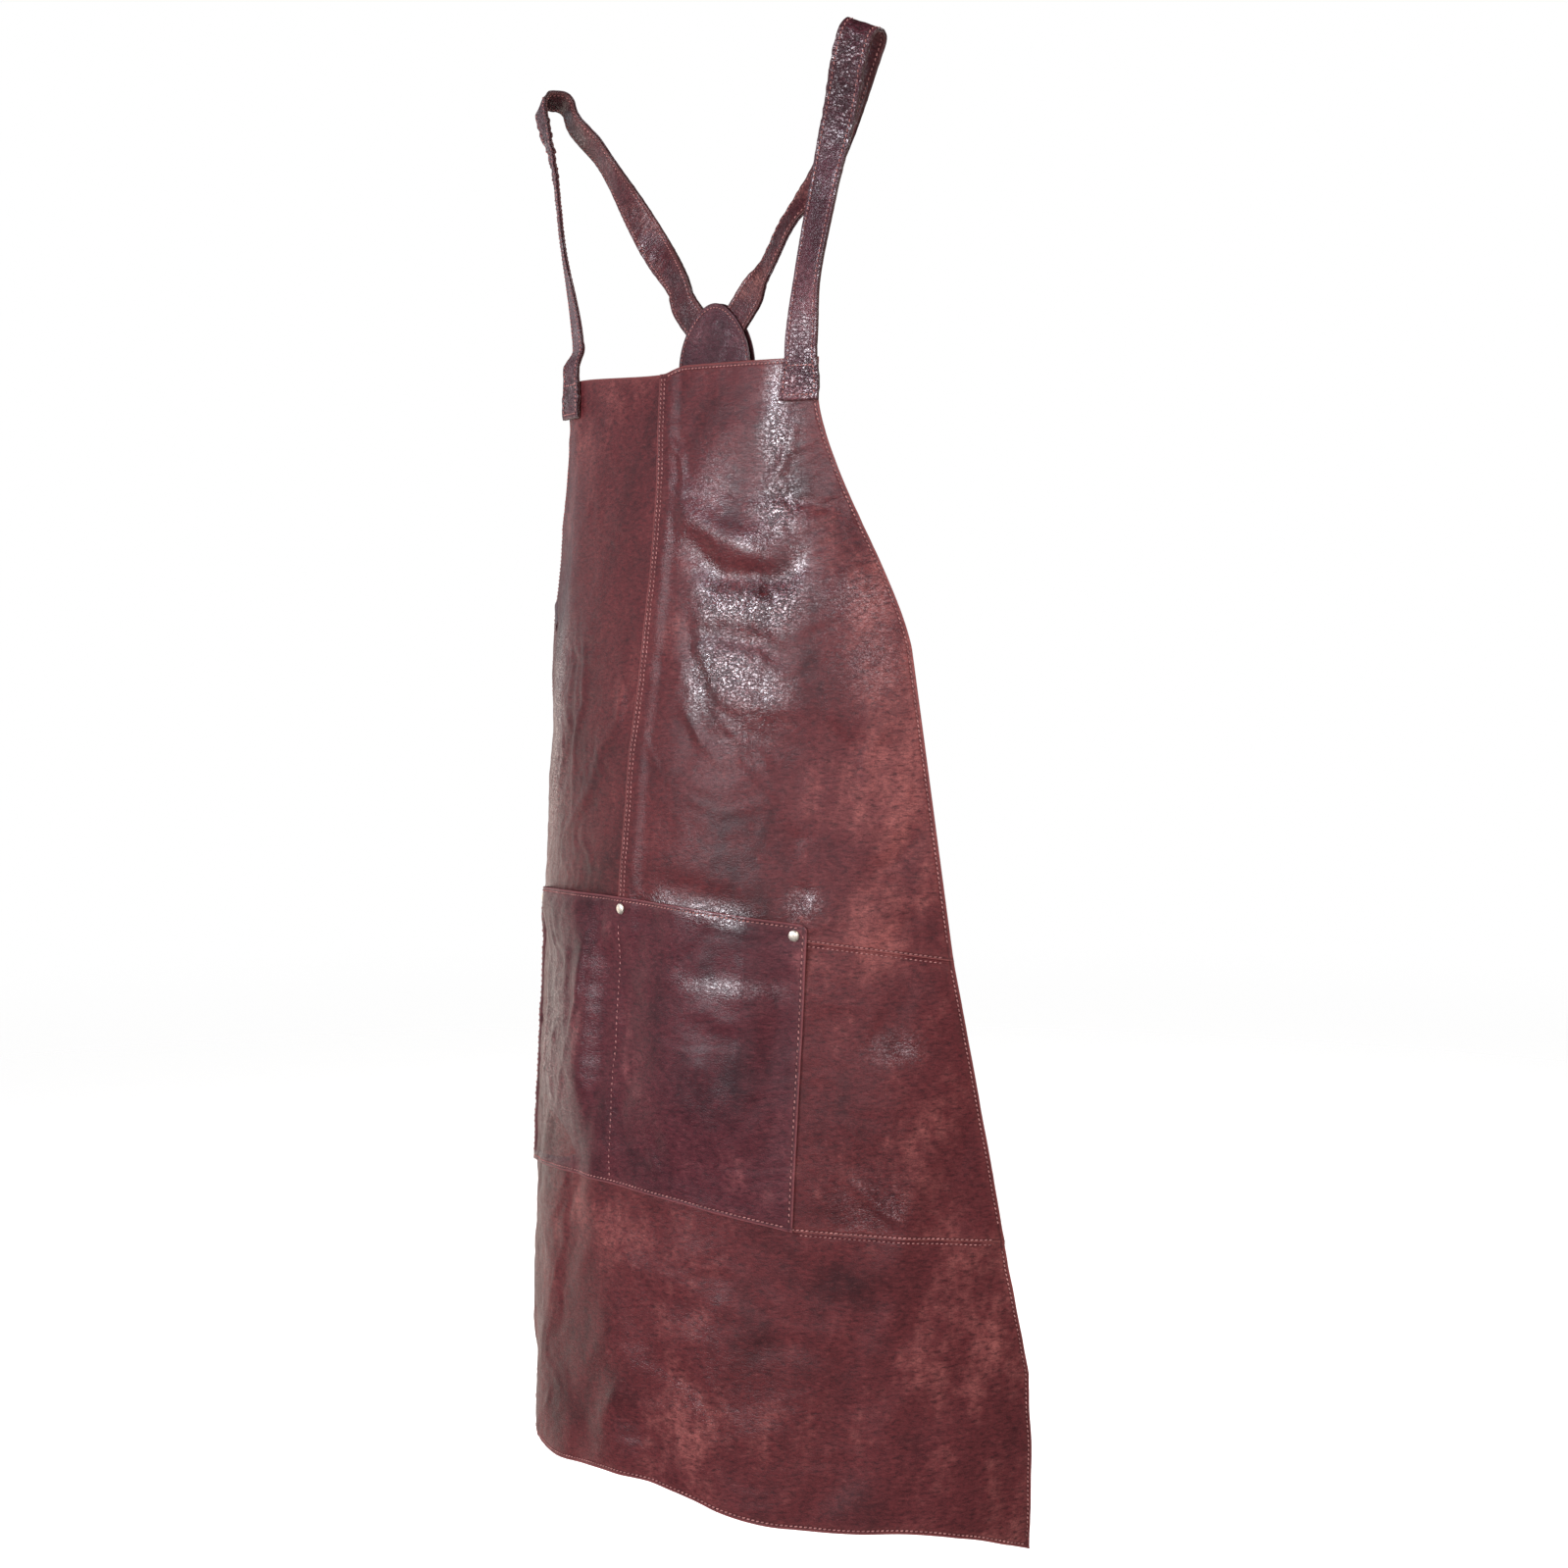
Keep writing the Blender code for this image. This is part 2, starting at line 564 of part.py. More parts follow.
def wire_loop(line, side):
    """The buckle's frame: round wire bent into a rectangle with rounded corners."""
    half_s, half_w = BUCKLE_LENGTH / 2, FRAME_HALF
    path = []
    for corner in range(4):
        cs = 1 if corner in (0, 3) else -1
        cw = 1 if corner in (0, 1) else -1
        for i in range(5):
            a = math.pi / 2 * (corner + i / 4)
            path.append((cs * (half_s - FRAME_CORNER) + FRAME_CORNER * math.cos(a),
                         cw * (half_w - FRAME_CORNER) + FRAME_CORNER * math.sin(a)))
    bm = bmesh.new()
    rings = []
    sides = 10
    for k, (s, w) in enumerate(path):
        ps, pw = path[k - 1]
        ns, nw = path[(k + 1) % len(path)]
        tangent = Vector((ns - ps, nw - pw)).normalized()
        ring = []
        for i in range(sides):
            a = 2 * math.pi * i / sides
            r, n = WIRE_R * math.cos(a), WIRE_R * math.sin(a)
            place = line.at(BAR_AT + half_s + s + tangent.y * r, n, w - tangent.x * r)
            ring.append(bm.verts.new(mirrored(place, side)))
        rings.append(ring)
    for one, two in zip(rings, rings[1:] + rings[:1]):
        for i in range(sides):
            k = (i + 1) % sides
            bm.faces.new((one[i], one[k], two[k], two[i]))
    bmesh.ops.triangulate(bm, faces=bm.faces)
    return bm


def prong_mesh(line, side):
    """A flat ring round the buckle bar with a tongue that rests on the roller."""
    rest = ROLLER_R + GAP
    outline = []
    start = math.radians(40)
    for i in range(15):
        a = start + (2 * math.pi - start * 1.1) * i / 14
        outline.append((PRONG_RING_R * math.cos(a), PRONG_RING_R * math.sin(a)))
    tip = BUCKLE_LENGTH + 0.0035
    outline += [(0.012, rest * 0.62), (BUCKLE_LENGTH, rest), (tip, rest * 0.97), (tip, rest + PRONG_THICK * 0.7),
                (BUCKLE_LENGTH, rest + PRONG_THICK), (0.012, rest * 0.62 + PRONG_THICK)]
    bm = bmesh.new()
    half = PRONG_WIDTH / 2
    near = [bm.verts.new(mirrored(line.at(BAR_AT + s, n, -half), side)) for s, n in outline]
    bm.faces.new(near)
    made = bmesh.ops.extrude_face_region(bm, geom=list(bm.faces))
    moved = [g for g in made["geom"] if isinstance(g, bmesh.types.BMVert)]
    shift = mirrored(line.at(0, 0, half), side) - mirrored(line.at(0, 0, -half), side)
    bmesh.ops.translate(bm, verts=moved, vec=shift)
    bmesh.ops.triangulate(bm, faces=bm.faces)
    return bm


def keeper_mesh(line, side):
    """A closed leather loop round the tab and the strap's tip."""
    half_w = STRAP_WIDTH / 2 + 0.0006
    low = -(LEATHER + GAP / 2) - 0.0005
    high = STRAP_SANDWICH + GAP + 0.0003 + STRAP_SANDWICH / 2 + 0.0005
    bend = 0.0012
    loops = []
    for grow in (0.0, LEATHER):
        points = []
        for cw, cn, a0 in ((1, 1, 0), (-1, 1, 90), (-1, -1, 180), (1, -1, 270)):
            for i in range(4):
                a = math.radians(a0 + 30 * i)
                w = cw * (half_w - bend) + (bend + grow) * math.cos(a)
                mid = high - bend if cn > 0 else low + bend
                points.append((w, mid + (bend + grow) * math.sin(a)))
        loops.append(points)
    bm = bmesh.new()
    rings = []
    for points, s in ((loops[0], -1), (loops[1], -1), (loops[1], 1), (loops[0], 1)):
        at = KEEPER_AT + s * KEEPER_LENGTH / 2
        rings.append([bm.verts.new(mirrored(line.at(at, n, w), side)) for w, n in points])
    for one, two in zip(rings, rings[1:] + rings[:1]):
        for i in range(len(one)):
            k = (i + 1) % len(one)
            bm.faces.new((one[i], one[k], two[k], two[i]))
    bmesh.ops.triangulate(bm, faces=bm.faces)
    return bm


def empty_at(name, place):
    """An empty on a joint's axis, the parent of the piece that moves there."""
    obj = bpy.data.objects.new(name, None)
    obj.location = place
    bpy.context.collection.objects.link(obj)
    bpy.context.view_layer.update()
    return obj


def build_lower_harness():
    line = StrapLine()
    strap = lower_frames(line)
    tab = tab_frames(line)
    inner = -STRAP_SANDWICH / 2
    for label, side in (("left", 1), ("right", -1)):
        # the run goes towards the anchor, so its normal points to the front
        layers = [ribbon(f"lower_strap_{label}_lining", strap, STRAP_WIDTH, -inner - LEATHER, -inner,
                         side, LINING_FINISH),
                  ribbon(f"lower_strap_{label}_outer", strap, STRAP_WIDTH, inner, inner + LEATHER,
                         side, LEATHER_FINISH)]
        slot = slot_tool(f"strap_slot_{label}", line, side, BAR_AT + 0.0015, BAR_AT + 0.0155,
                         -0.008, 0.012, PRONG_SLOT)
        for layer in layers:
            cut(layer, slot)
        for i in range(HOLE_COUNT):
            s = BAR_AT + BUCKLE_LENGTH + 0.018 + HOLE_PITCH * i
            plug = [(0, 0.008), (HOLE_R, 0.008), (HOLE_R, -0.008), (0, -0.008)]
            hole = cutter(f"strap_hole_{label}_{i + 1}",
                          turned(plug, mirrored(line.at(s), side), mirrored(line.out, side)))
            for layer in layers:
                cut(layer, hole)
        fold = ribbon(f"waist_tab_{label}", tab, TAB_WIDTH, -LEATHER / 2, LEATHER / 2, side, LEATHER_FINISH)
        cut(fold, slot_tool(f"fold_slot_{label}", line, side, BAR_AT - 0.0055, BAR_AT + 0.006,
                            -0.006, 0.006, PRONG_SLOT))
        add_object(f"buckle_frame_{label}", wire_loop(line, side), STEEL_FINISH)
        bar = mirrored(line.at(BAR_AT), side)
        pivot = empty_at(f"prong_pivot_{label}", bar)
        prong = add_object(f"buckle_prong_{label}", prong_mesh(line, side), STEEL_FINISH, pivot)
        across = mirrored(line.across, side)
        bore = [(0, 0.01), (WIRE_R + GAP, 0.01), (WIRE_R + GAP, -0.01), (0, -0.01)]
        cut(prong, cutter(f"prong_bore_{label}", turned(bore, bar, across)))
        centre = mirrored(line.at(BAR_AT + BUCKLE_LENGTH), side)
        axle = empty_at(f"roller_axis_{label}", centre)
        half = ROLLER_LENGTH / 2
        tube = [(ROLLER_BORE, -half), (ROLLER_R, -half), (ROLLER_R, half), (ROLLER_BORE, half), (ROLLER_BORE, -half)]
        add_object(f"buckle_roller_{label}", turned(tube, centre, across), STEEL_FINISH, axle)
        slider = empty_at(f"keeper_place_{label}", mirrored(line.at(KEEPER_AT), side))
        add_object(f"strap_keeper_{label}", keeper_mesh(line, side), LEATHER_FINISH, slider)


def clear_scene():
    for obj in list(bpy.data.objects):
        bpy.data.objects.remove(obj, do_unlink=True)


clear_scene()
bib_left, bib_right, waist = build_panels()
pocket = build_pocket()
build_rivets((pocket, bib_left, bib_right, waist))
build_shoulder_straps()
build_patch()
build_lower_harness()
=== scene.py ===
"""Looks of the leather welding apron: fine leather sheets with their drape, creases and grain,
sewn edges with every stitch as thread, rivets and buckles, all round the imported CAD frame.

Panels are drawn on one curved sheet, as in the CAD source: u runs across from the centre line
towards the wearer's left, v runs down from the top of the bib, n stands off to the front.
"""
import math

import bpy
import numpy as np
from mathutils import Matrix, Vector


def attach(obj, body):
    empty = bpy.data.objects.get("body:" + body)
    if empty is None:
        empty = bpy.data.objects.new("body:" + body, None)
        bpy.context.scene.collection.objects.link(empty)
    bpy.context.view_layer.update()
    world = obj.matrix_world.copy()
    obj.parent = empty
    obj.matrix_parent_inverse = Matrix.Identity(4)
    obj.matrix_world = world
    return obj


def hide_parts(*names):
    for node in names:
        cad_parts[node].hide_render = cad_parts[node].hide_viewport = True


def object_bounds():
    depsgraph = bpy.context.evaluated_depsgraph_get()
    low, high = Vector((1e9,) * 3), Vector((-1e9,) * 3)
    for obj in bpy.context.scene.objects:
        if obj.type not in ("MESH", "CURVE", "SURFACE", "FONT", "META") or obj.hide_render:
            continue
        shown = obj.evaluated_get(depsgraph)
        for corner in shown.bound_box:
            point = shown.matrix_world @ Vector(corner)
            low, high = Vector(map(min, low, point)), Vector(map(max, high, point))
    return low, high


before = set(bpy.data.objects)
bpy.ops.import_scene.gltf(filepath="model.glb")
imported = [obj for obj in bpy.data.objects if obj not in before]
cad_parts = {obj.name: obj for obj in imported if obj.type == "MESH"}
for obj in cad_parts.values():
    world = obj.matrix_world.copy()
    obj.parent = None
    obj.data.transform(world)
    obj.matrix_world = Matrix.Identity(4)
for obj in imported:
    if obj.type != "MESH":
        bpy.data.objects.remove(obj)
cad_low, cad_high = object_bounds()

# ---- leather -----------------------------------------------------------------------------
LEATHER = 0.0014
GAP = 0.0003
LAYER = LEATHER + GAP

# ---- the hanging sheet, as in the CAD source -----------------------------------------------
STRAP_RISE = 0.238
BIB_FORWARD = 0.032
LEAN_DEPTH = 0.133
LEAN_LENGTH = 1.0
TOP_CURVATURE = 1.81
HANG_CURVATURE = 1.22
CURVATURE_LENGTH = 0.12
CURVATURE_SLOPE = 0.6

# ---- flat pattern --------------------------------------------------------------------------
HALF_TOP = 0.153
ARMHOLE_TOP = 0.020
ARMHOLE_END = 0.215
HALF_WAIST = 0.235
SIDE_STATIONS = ((ARMHOLE_END, HALF_WAIST), (0.445, 0.279), (0.661, 0.331), (0.771, 0.359),
                 (0.930, 0.371))
UPPER_SEAM = (0.426, 0.25)
LOWER_SEAM = (0.649, 0.11)
HEM = (0.872, 0.28)
POCKET_TOP = (0.414, 0.35)
POCKET_BOTTOM = (0.641, 0.55)
ROW_LAP = 0.012
EDGE_TRIM = 0.004
CENTRE_LAP = 0.012
CENTRE_BOW = 0.009
CENTRE_BOW_LENGTH = 0.30
CENTRE_OFFSET = -0.004
POCKET_HALF = 0.170
POCKET_DEPTH = 0.0097
POCKET_CORNER = 0.005       # radius of the pocket's upper corners
TOP_STEP = 0.004            # the two bib halves end this much above and below the mean top
HEM_WAVE = 0.0055
HEM_WAVE_LENGTH = 0.25

# ---- rivets --------------------------------------------------------------------------------
RIVET_U = 0.160
RIVET_BELOW_TOP = 0.009
RIVET_CAP_R = 0.0043
RIVET_CAP_H = 0.0022
RIVET_POST_R = 0.0016
RIVET_BACK_R = 0.0045
RIVET_BACK_H = 0.0012

# ---- straps, patch and buckles -------------------------------------------------------------
STRAP_WIDTH = 0.028
TAB_FLARE = 0.0055          # the strap's sewn end is wider than the strap
TAB_U = 0.139
TAB_LENGTH = 0.031
CROWN_RADIUS = 0.008
CROWN_FLAT = 0.006
CROWN = np.array((0.186, 0.0, 0.0))
CROWN_ACROSS = np.array((0.86, 0.35, -0.37))
# each strap's run, x towards its own side: points up the front or down the back, and across
FRONT_RUNS = {
    1: (((0.1465, 0.0110, 0.060), (0.97, -0.03, 0.05)),
        ((0.1570, 0.0165, 0.120), (0.97, 0.05, 0.02)),
        ((0.1705, 0.0215, 0.180), (0.93, 0.28, -0.20))),
    -1: (((0.1405, 0.0201, 0.0299), (0.92, 0.40, -0.01)),
         ((0.1576, 0.0179, 0.1143), (0.82, 0.56, 0.15)),
         ((0.1733, 0.0210, 0.1829), (0.81, 0.58, -0.13))),
}
PATCH_RUN = (
    ((0.0400, 0.0500, 0.0580), (0.71, 0.0, -0.70)),
    ((0.0135, 0.0500, 0.0315), (0.71, 0.0, -0.70)),
)
BACK_RUNS = {
    1: (((0.1163, 0.0600, 0.1495), (0.84, -0.03, -0.54)),
        ((0.0838, 0.0511, 0.1123), (0.80, -0.43, -0.42)),
        ((0.0585, 0.0497, 0.0778), (0.65, -0.42, -0.63))) + PATCH_RUN,
    -1: (((0.1481, 0.0515, 0.1915), (0.68, 0.41, -0.60)),
         ((0.0834, 0.0574, 0.1079), (0.73, -0.23, -0.65)),
         ((0.0478, 0.0505, 0.0752), (0.72, 0.05, -0.69))) + PATCH_RUN,
}
PATCH_PLANE = 0.050
PATCH_CENTRE_Z = 0.004
PATCH_HALF_WIDTH = 0.043
PATCH_UP = 0.052
PATCH_DOWN = 0.050
PATCH_END_ACROSS = (0.71, 0.0, 0.70)
LOWER_START = (0.0125, 0.050, -0.013)
LOWER_EXIT = (0.036, 0.050, -0.0372)
LOWER_TURN = (0.045, 0.050, -0.0465)
ANCHOR_U = 0.197
ANCHOR_V = 0.195
TAB_STITCHED = 0.020
WAIST_TAB_WIDTH = 0.026
BAR_AT = 0.060
BUCKLE_LENGTH = 0.030
TIP_AT = 0.006
TAB_PLY_END = 0.014
KEEPER_AT = 0.034
KEEPER_LENGTH = 0.010
HOLE_PITCH = 0.022
HOLE_COUNT = 4
HOLE_R = 0.002
WIRE_R = 0.0015
FRAME_HALF = 0.0163
FRAME_CORNER = 0.004
ROLLER_R = 0.0028
ROLLER_BORE = 0.0018
ROLLER_LENGTH = 0.026
PRONG_RING_R = 0.0030
PRONG_WIDTH = 0.0024
PRONG_THICK = 0.0018
PRONG_SLOT = 0.0044
STRAP_SANDWICH = 2 * LEATHER + GAP

# ---- sewing --------------------------------------------------------------------------------
STITCH_PITCH = 0.0037
POCKET_SIDE_PITCH = 0.0048    # the pocket's sides are sewn with longer stitches
STITCH_LENGTH = 0.0027
THREAD_R = 0.00055
EDGE_ROW = 0.003            # stitch row from a cut edge
STRAP_ROW = 0.0034          # the same on straps and patch
CENTRE_ROW = 0.0068         # the centre seam's second row
GROOVE_HALF = 0.0008
GROOVE_DEPTH = 0.00030
RIDGE_BELOW = 0.0013        # the felled seam's second ridge, below the upper row's edge
RIDGE_HEIGHT = 0.0009
SEAM_ROW_BELOW = 0.0024
SEAM_ROW_ABOVE = 0.0017
BIB_SEWN = (0.003, 0.436)   # each row's side stitches, from and to, down the pattern
WAIST_SEWN = (0.455, 0.652)
SKIRT_SEWN = (0.672, 0.902)
UPPER_SEAM_REACH = 0.272    # the cross rows' stitches, each way from the centre line
LOWER_SEAM_REACH = 0.322
HEM_REACH = 0.364

# ---- grids and grain -----------------------------------------------------------------------
PANEL_PITCH = 0.0030
POCKET_PITCH = 0.0026
STRAP_PITCH = 0.0020
COLUMN_PITCH = 0.0026       # across a strap
BACK_UV = (1.7, 0.4)        # the back of a sheet reads another place of the same hide
GRAIN_SCALE = 620.0
GRAIN_DEPTH = 0.00004


def smooth(x):
    """From 0 to 1 with level ends, as x goes from 0 to 1."""
    x = np.clip(x, 0.0, 1.0)
    return x * x * (3 - 2 * x)


def unit(a):
    return a / np.linalg.norm(a, axis=-1, keepdims=True)


def bell(x):
    return np.exp(-x * x)


def sampled(at, length, table):
    """Rows of a table of vectors, read at other lengths along it."""
    return np.stack([np.interp(at, length, table[:, i]) for i in range(3)], -1)


# ---- the sheet -----------------------------------------------------------------------------
def sheet_base(u, v):
    k = TOP_CURVATURE + HANG_CURVATURE * (1 - np.exp(-v / CURVATURE_LENGTH)) + CURVATURE_SLOPE * v
    y = -BIB_FORWARD - LEAN_DEPTH * (1 - np.exp(-v / LEAN_LENGTH)) + (1 - np.cos(k * u)) / k
    return np.stack([np.sin(k * u) / k, y, -STRAP_RISE - v], -1)


def sheet_frame(u, v):
    step = 0.0005
    across = unit(sheet_base(u + step, v) - sheet_base(u - step, v))
    down = unit(sheet_base(u, v + step) - sheet_base(u, v - step))
    return across, down, unit(np.cross(down, across))


def half_width(v):
    t = np.clip((v - ARMHOLE_TOP) / (ARMHOLE_END - ARMHOLE_TOP), 0.0, 1.0)
    armhole = HALF_TOP + (HALF_WAIST - HALF_TOP) * (0.5 * t ** 1.3 + 0.5 * smooth(t))
    side = np.interp(v, [s[0] for s in SIDE_STATIONS], [s[1] for s in SIDE_STATIONS])
    return np.where(v < ARMHOLE_END, armhole, side)


def row(line, u):
    return line[0] + line[1] * u * u


def centre_seam(v):
    return CENTRE_OFFSET + CENTRE_BOW * np.sin(np.pi * np.clip(v / CENTRE_BOW_LENGTH, 0, 1))


# ---- relief of the hanging leather ---------------------------------------------------------
def waves(u, v, seed, count, shortest, longest, lean=None, spread=0.35):
    """A sum of sine waves of lengths and directions drawn from a seed, about -1 to 1."""
    rng = np.random.default_rng(seed)
    total = np.zeros_like(u)
    for _ in range(count):
        length = math.exp(rng.uniform(math.log(shortest), math.log(longest)))
        angle = rng.uniform(0, math.pi) if lean is None else lean + rng.normal(0, spread)
        phase = rng.uniform(0, 2 * math.pi)
        total += np.sin(2 * math.pi / length * (u * math.cos(angle) + v * math.sin(angle)) + phase)
    return total / math.sqrt(count)


def line_distance(u, v, points):
    """Distance to a line of points, and the fraction along it, for every u and v."""
    best = np.full(u.shape, 1e9)
    place = np.zeros_like(u)
    pieces = len(points) - 1
    for i, ((u0, v0), (u1, v1)) in enumerate(zip(points, points[1:])):
        du, dv = u1 - u0, v1 - v0
        t = np.clip(((u - u0) * du + (v - v0) * dv) / (du * du + dv * dv), 0, 1)
        d = np.hypot(u - u0 - du * t, v - v0 - dv * t)
        place = np.where(d < best, (i + t) / pieces, place)
        best = np.minimum(best, d)
    return best, place


# each crease: height of its ridge (negative for a valley), half width, points (u, v)
CREASES = (
    (0.0016, 0.0045, ((0.135, 0.046), (0.131, 0.064), (0.125, 0.079), (0.114, 0.092))),
    (0.0030, 0.0120, ((0.022, 0.092), (0.041, 0.116), (0.072, 0.130), (0.101, 0.139), (0.116, 0.147))),
    (-0.0042, 0.0110, ((0.052, 0.138), (0.061, 0.152), (0.076, 0.162), (0.098, 0.163), (0.118, 0.164),
                       (0.133, 0.163), (0.145, 0.153), (0.149, 0.142))),
    (0.0018, 0.0060, ((0.106, 0.168), (0.112, 0.182), (0.108, 0.197))),
    (-0.0016, 0.0060, ((0.120, 0.104), (0.150, 0.107), (0.180, 0.112))),
    (-0.0026, 0.0090, ((0.058, 0.205), (0.090, 0.208), (0.122, 0.214), (0.139, 0.226))),
    (-0.0020, 0.0080, ((0.048, 0.196), (0.053, 0.220), (0.066, 0.243), (0.078, 0.262))),
    (0.0022, 0.0110, ((0.082, 0.252), (0.112, 0.262), (0.138, 0.262))),
    (0.0009, 0.0040, ((0.050, 0.262), (0.070, 0.287), (0.092, 0.305))),
    (0.0009, 0.0040, ((0.068, 0.252), (0.096, 0.278), (0.125, 0.299), (0.136, 0.318))),
    (0.0007, 0.0035, ((0.098, 0.300), (0.120, 0.320), (0.150, 0.345))),
    (0.0007, 0.0018, ((0.012, 0.284), (0.023, 0.302), (0.034, 0.317))),
    (-0.0024, 0.0110, ((0.026, 0.399), (0.070, 0.404), (0.118, 0.410))),
    (-0.0020, 0.0080, ((0.158, 0.400), (0.172, 0.402))),
    (-0.0016, 0.0085, ((0.146, 0.360), (0.162, 0.364))),
    (-0.0014, 0.0065, ((0.236, 0.509), (0.250, 0.520))),
    (0.0018, 0.0042, ((0.208, 0.611), (0.225, 0.627), (0.241, 0.641), (0.262, 0.654))),
    (0.0008, 0.0030, ((0.200, 0.566), (0.215, 0.582), (0.228, 0.594))),
    (0.0014, 0.0060, ((-0.020, 0.240), (-0.022, 0.279), (-0.041, 0.297), (-0.067, 0.345))),
    (0.0012, 0.0055, ((-0.049, 0.328), (-0.067, 0.345), (-0.115, 0.383))),
    (0.0016, 0.0050, ((-0.085, 0.215), (-0.078, 0.262), (-0.092, 0.300), (-0.088, 0.352))),
    (-0.0014, 0.0060, ((-0.105, 0.228), (-0.098, 0.286), (-0.118, 0.334))),
    (0.0012, 0.0040, ((0.012, 0.052), (0.028, 0.070), (0.034, 0.092))),
    (-0.0012, 0.0070, ((0.170, 0.268), (0.192, 0.290), (0.202, 0.306))),
    (0.0010, 0.0050, ((0.218, 0.272), (0.206, 0.296), (0.208, 0.322))),
    (-0.0022, 0.0120, ((0.205, 0.396), (0.232, 0.378), (0.248, 0.352))),
    (0.0016, 0.0100, ((0.020, 0.700), (0.075, 0.706), (0.130, 0.722))),
    (-0.0020, 0.0120, ((0.215, 0.700), (0.262, 0.707), (0.300, 0.720))),
    (-0.0016, 0.0100, ((0.130, 0.752), (0.176, 0.742), (0.215, 0.760))),
    (0.0016, 0.0090, ((0.010, 0.800), (0.050, 0.812), (0.085, 0.806))),
    (-0.0014, 0.0080, ((0.060, 0.770), (0.098, 0.782), (0.120, 0.812), (0.126, 0.850))),
)

# soft swellings: height, centre (u, v), half sizes
SWELLS = (
    (-0.0085, (-0.215, 0.900), (0.120, 0.130)),
    (-0.0040, (-0.215, 0.420), (0.070, 0.300)),
    (0.0035, (0.196, 0.205), (0.050, 0.060)),
    (-0.0030, (0.120, 0.090), (0.040, 0.030)),
    (0.0012, (0.085, 0.330), (0.060, 0.060)),
    (-0.0030, (0.150, 0.325), (0.040, 0.050)),
    (0.0040, (0.245, 0.560), (0.060, 0.080)),
    (0.0040, (0.080, 0.760), (0.090, 0.070)),
    (-0.0040, (0.240, 0.790), (0.060, 0.080)),
    (0.0045, (0.320, 0.830), (0.050, 0.090)),
)

# patches of fine crumpling: weight, centre (u, v), half sizes
CRUMPLES = (
    (1.0, (0.124, 0.110), (0.018, 0.024)),
    (0.8, (0.120, 0.058), (0.016, 0.022)),
    (1.0, (0.095, 0.180), (0.042, 0.020)),
    (1.0, (0.132, 0.180), (0.018, 0.024)),
    (0.9, (0.088, 0.234), (0.042, 0.028)),
    (0.7, (0.180, 0.118), (0.030, 0.024)),
    (0.5, (0.205, 0.160), (0.025, 0.030)),
    (0.5, (0.105, 0.290), (0.045, 0.030)),
    (0.5, (0.220, 0.600), (0.050, 0.050)),
    (0.6, (-0.120, 0.300), (0.080, 0.110)),
    (0.6, (-0.110, 0.540), (0.060, 0.100)),
    (0.5, (-0.150, 0.760), (0.080, 0.110)),
    (0.5, (0.120, 0.416), (0.100, 0.014)),
)

# how much redder and lighter the colour is: amount, centre (u, v), half sizes; the lighter spots are uneven
# dye, the darker spots lie in crease valleys and along the seams and are painted shade, such as the band
# below the right armhole at (0.152, 0.098)
TONES_AND_SHADE = (
    (1.00, (0.205, 0.190), (0.036, 0.070)),
    (-1.00, (0.152, 0.098), (0.038, 0.009)),
    (0.95, (0.232, 0.330), (0.036, 0.110)),
    (0.35, (0.060, 0.012), (0.120, 0.016)),
    (-0.60, (0.140, 0.362), (0.050, 0.028)),
    (-0.45, (0.070, 0.392), (0.070, 0.018)),
    (-0.35, (0.085, 0.122), (0.050, 0.022)),
    (-0.30, (0.150, 0.085), (0.030, 0.020)),
    (0.35, (0.140, 0.230), (0.050, 0.060)),
    (-0.45, (-0.070, 0.395), (0.060, 0.030)),
    (-0.35, (0.205, 0.515), (0.050, 0.060)),
    (0.45, (0.280, 0.600), (0.034, 0.060)),
    (-0.55, (0.200, 0.640), (0.034, 0.014)),
    (-0.30, (0.275, 0.640), (0.020, 0.012)),
    (0.45, (0.060, 0.680), (0.170, 0.025)),
    (0.40, (0.300, 0.720), (0.070, 0.050)),
    (-0.50, (0.150, 0.760), (0.030, 0.080)),
    (-0.35, (0.215, 0.690), (0.050, 0.020)),
    (0.35, (0.060, 0.780), (0.050, 0.060)),
    (0.30, (0.240, 0.850), (0.110, 0.040)),
)

# where creasing has polished the leather: amount, centre (u, v), half sizes
POLISHED = (
    (1.0, (0.117, 0.026), (0.008, 0.026)),
    (1.0, (0.122, 0.060), (0.013, 0.020)),
    (1.0, (0.124, 0.112), (0.017, 0.019)),
    (0.9, (0.104, 0.135), (0.014, 0.009)),
    (1.0, (0.066, 0.164), (0.011, 0.020)),
    (1.0, (0.086, 0.184), (0.026, 0.016)),
    (1.0, (0.122, 0.184), (0.022, 0.019)),
    (0.9, (0.143, 0.158), (0.008, 0.017)),
    (1.0, (0.067, 0.235), (0.012, 0.026)),
    (0.9, (0.098, 0.234), (0.022, 0.020)),
    (0.9, (0.130, 0.252), (0.014, 0.013)),
    (0.25, (0.112, 0.276), (0.026, 0.018)),
    (0.4, (0.050, 0.110), (0.030, 0.034)),
    (0.9, (0.042, 0.413), (0.014, 0.006)),
    (1.0, (0.083, 0.418), (0.016, 0.007)),
    (1.0, (0.110, 0.422), (0.014, 0.007)),
    (1.0, (0.165, 0.408), (0.012, 0.010)),
    (0.6, (0.105, 0.474), (0.050, 0.007)),
    (0.7, (0.244, 0.515), (0.020, 0.010)),
    (0.8, (0.235, 0.638), (0.034, 0.020)),
    (0.6, (0.190, 0.176), (0.024, 0.016)),
    (0.4, (0.205, 0.225), (0.022, 0.030)),
    (0.5, (-0.150, 0.280), (0.030, 0.150)),
    (0.4, (-0.100, 0.540), (0.060, 0.110)),
    (0.4, (0.100, 0.800), (0.080, 0.050)),
)


def spots(table, u, v):
    """The sum of a table's soft round spots."""
    total = np.zeros_like(u)
    for amount, (cu, cv), (ru, rv) in table:
        total += amount * bell(np.hypot((u - cu) / ru, (v - cv) / rv))
    return total


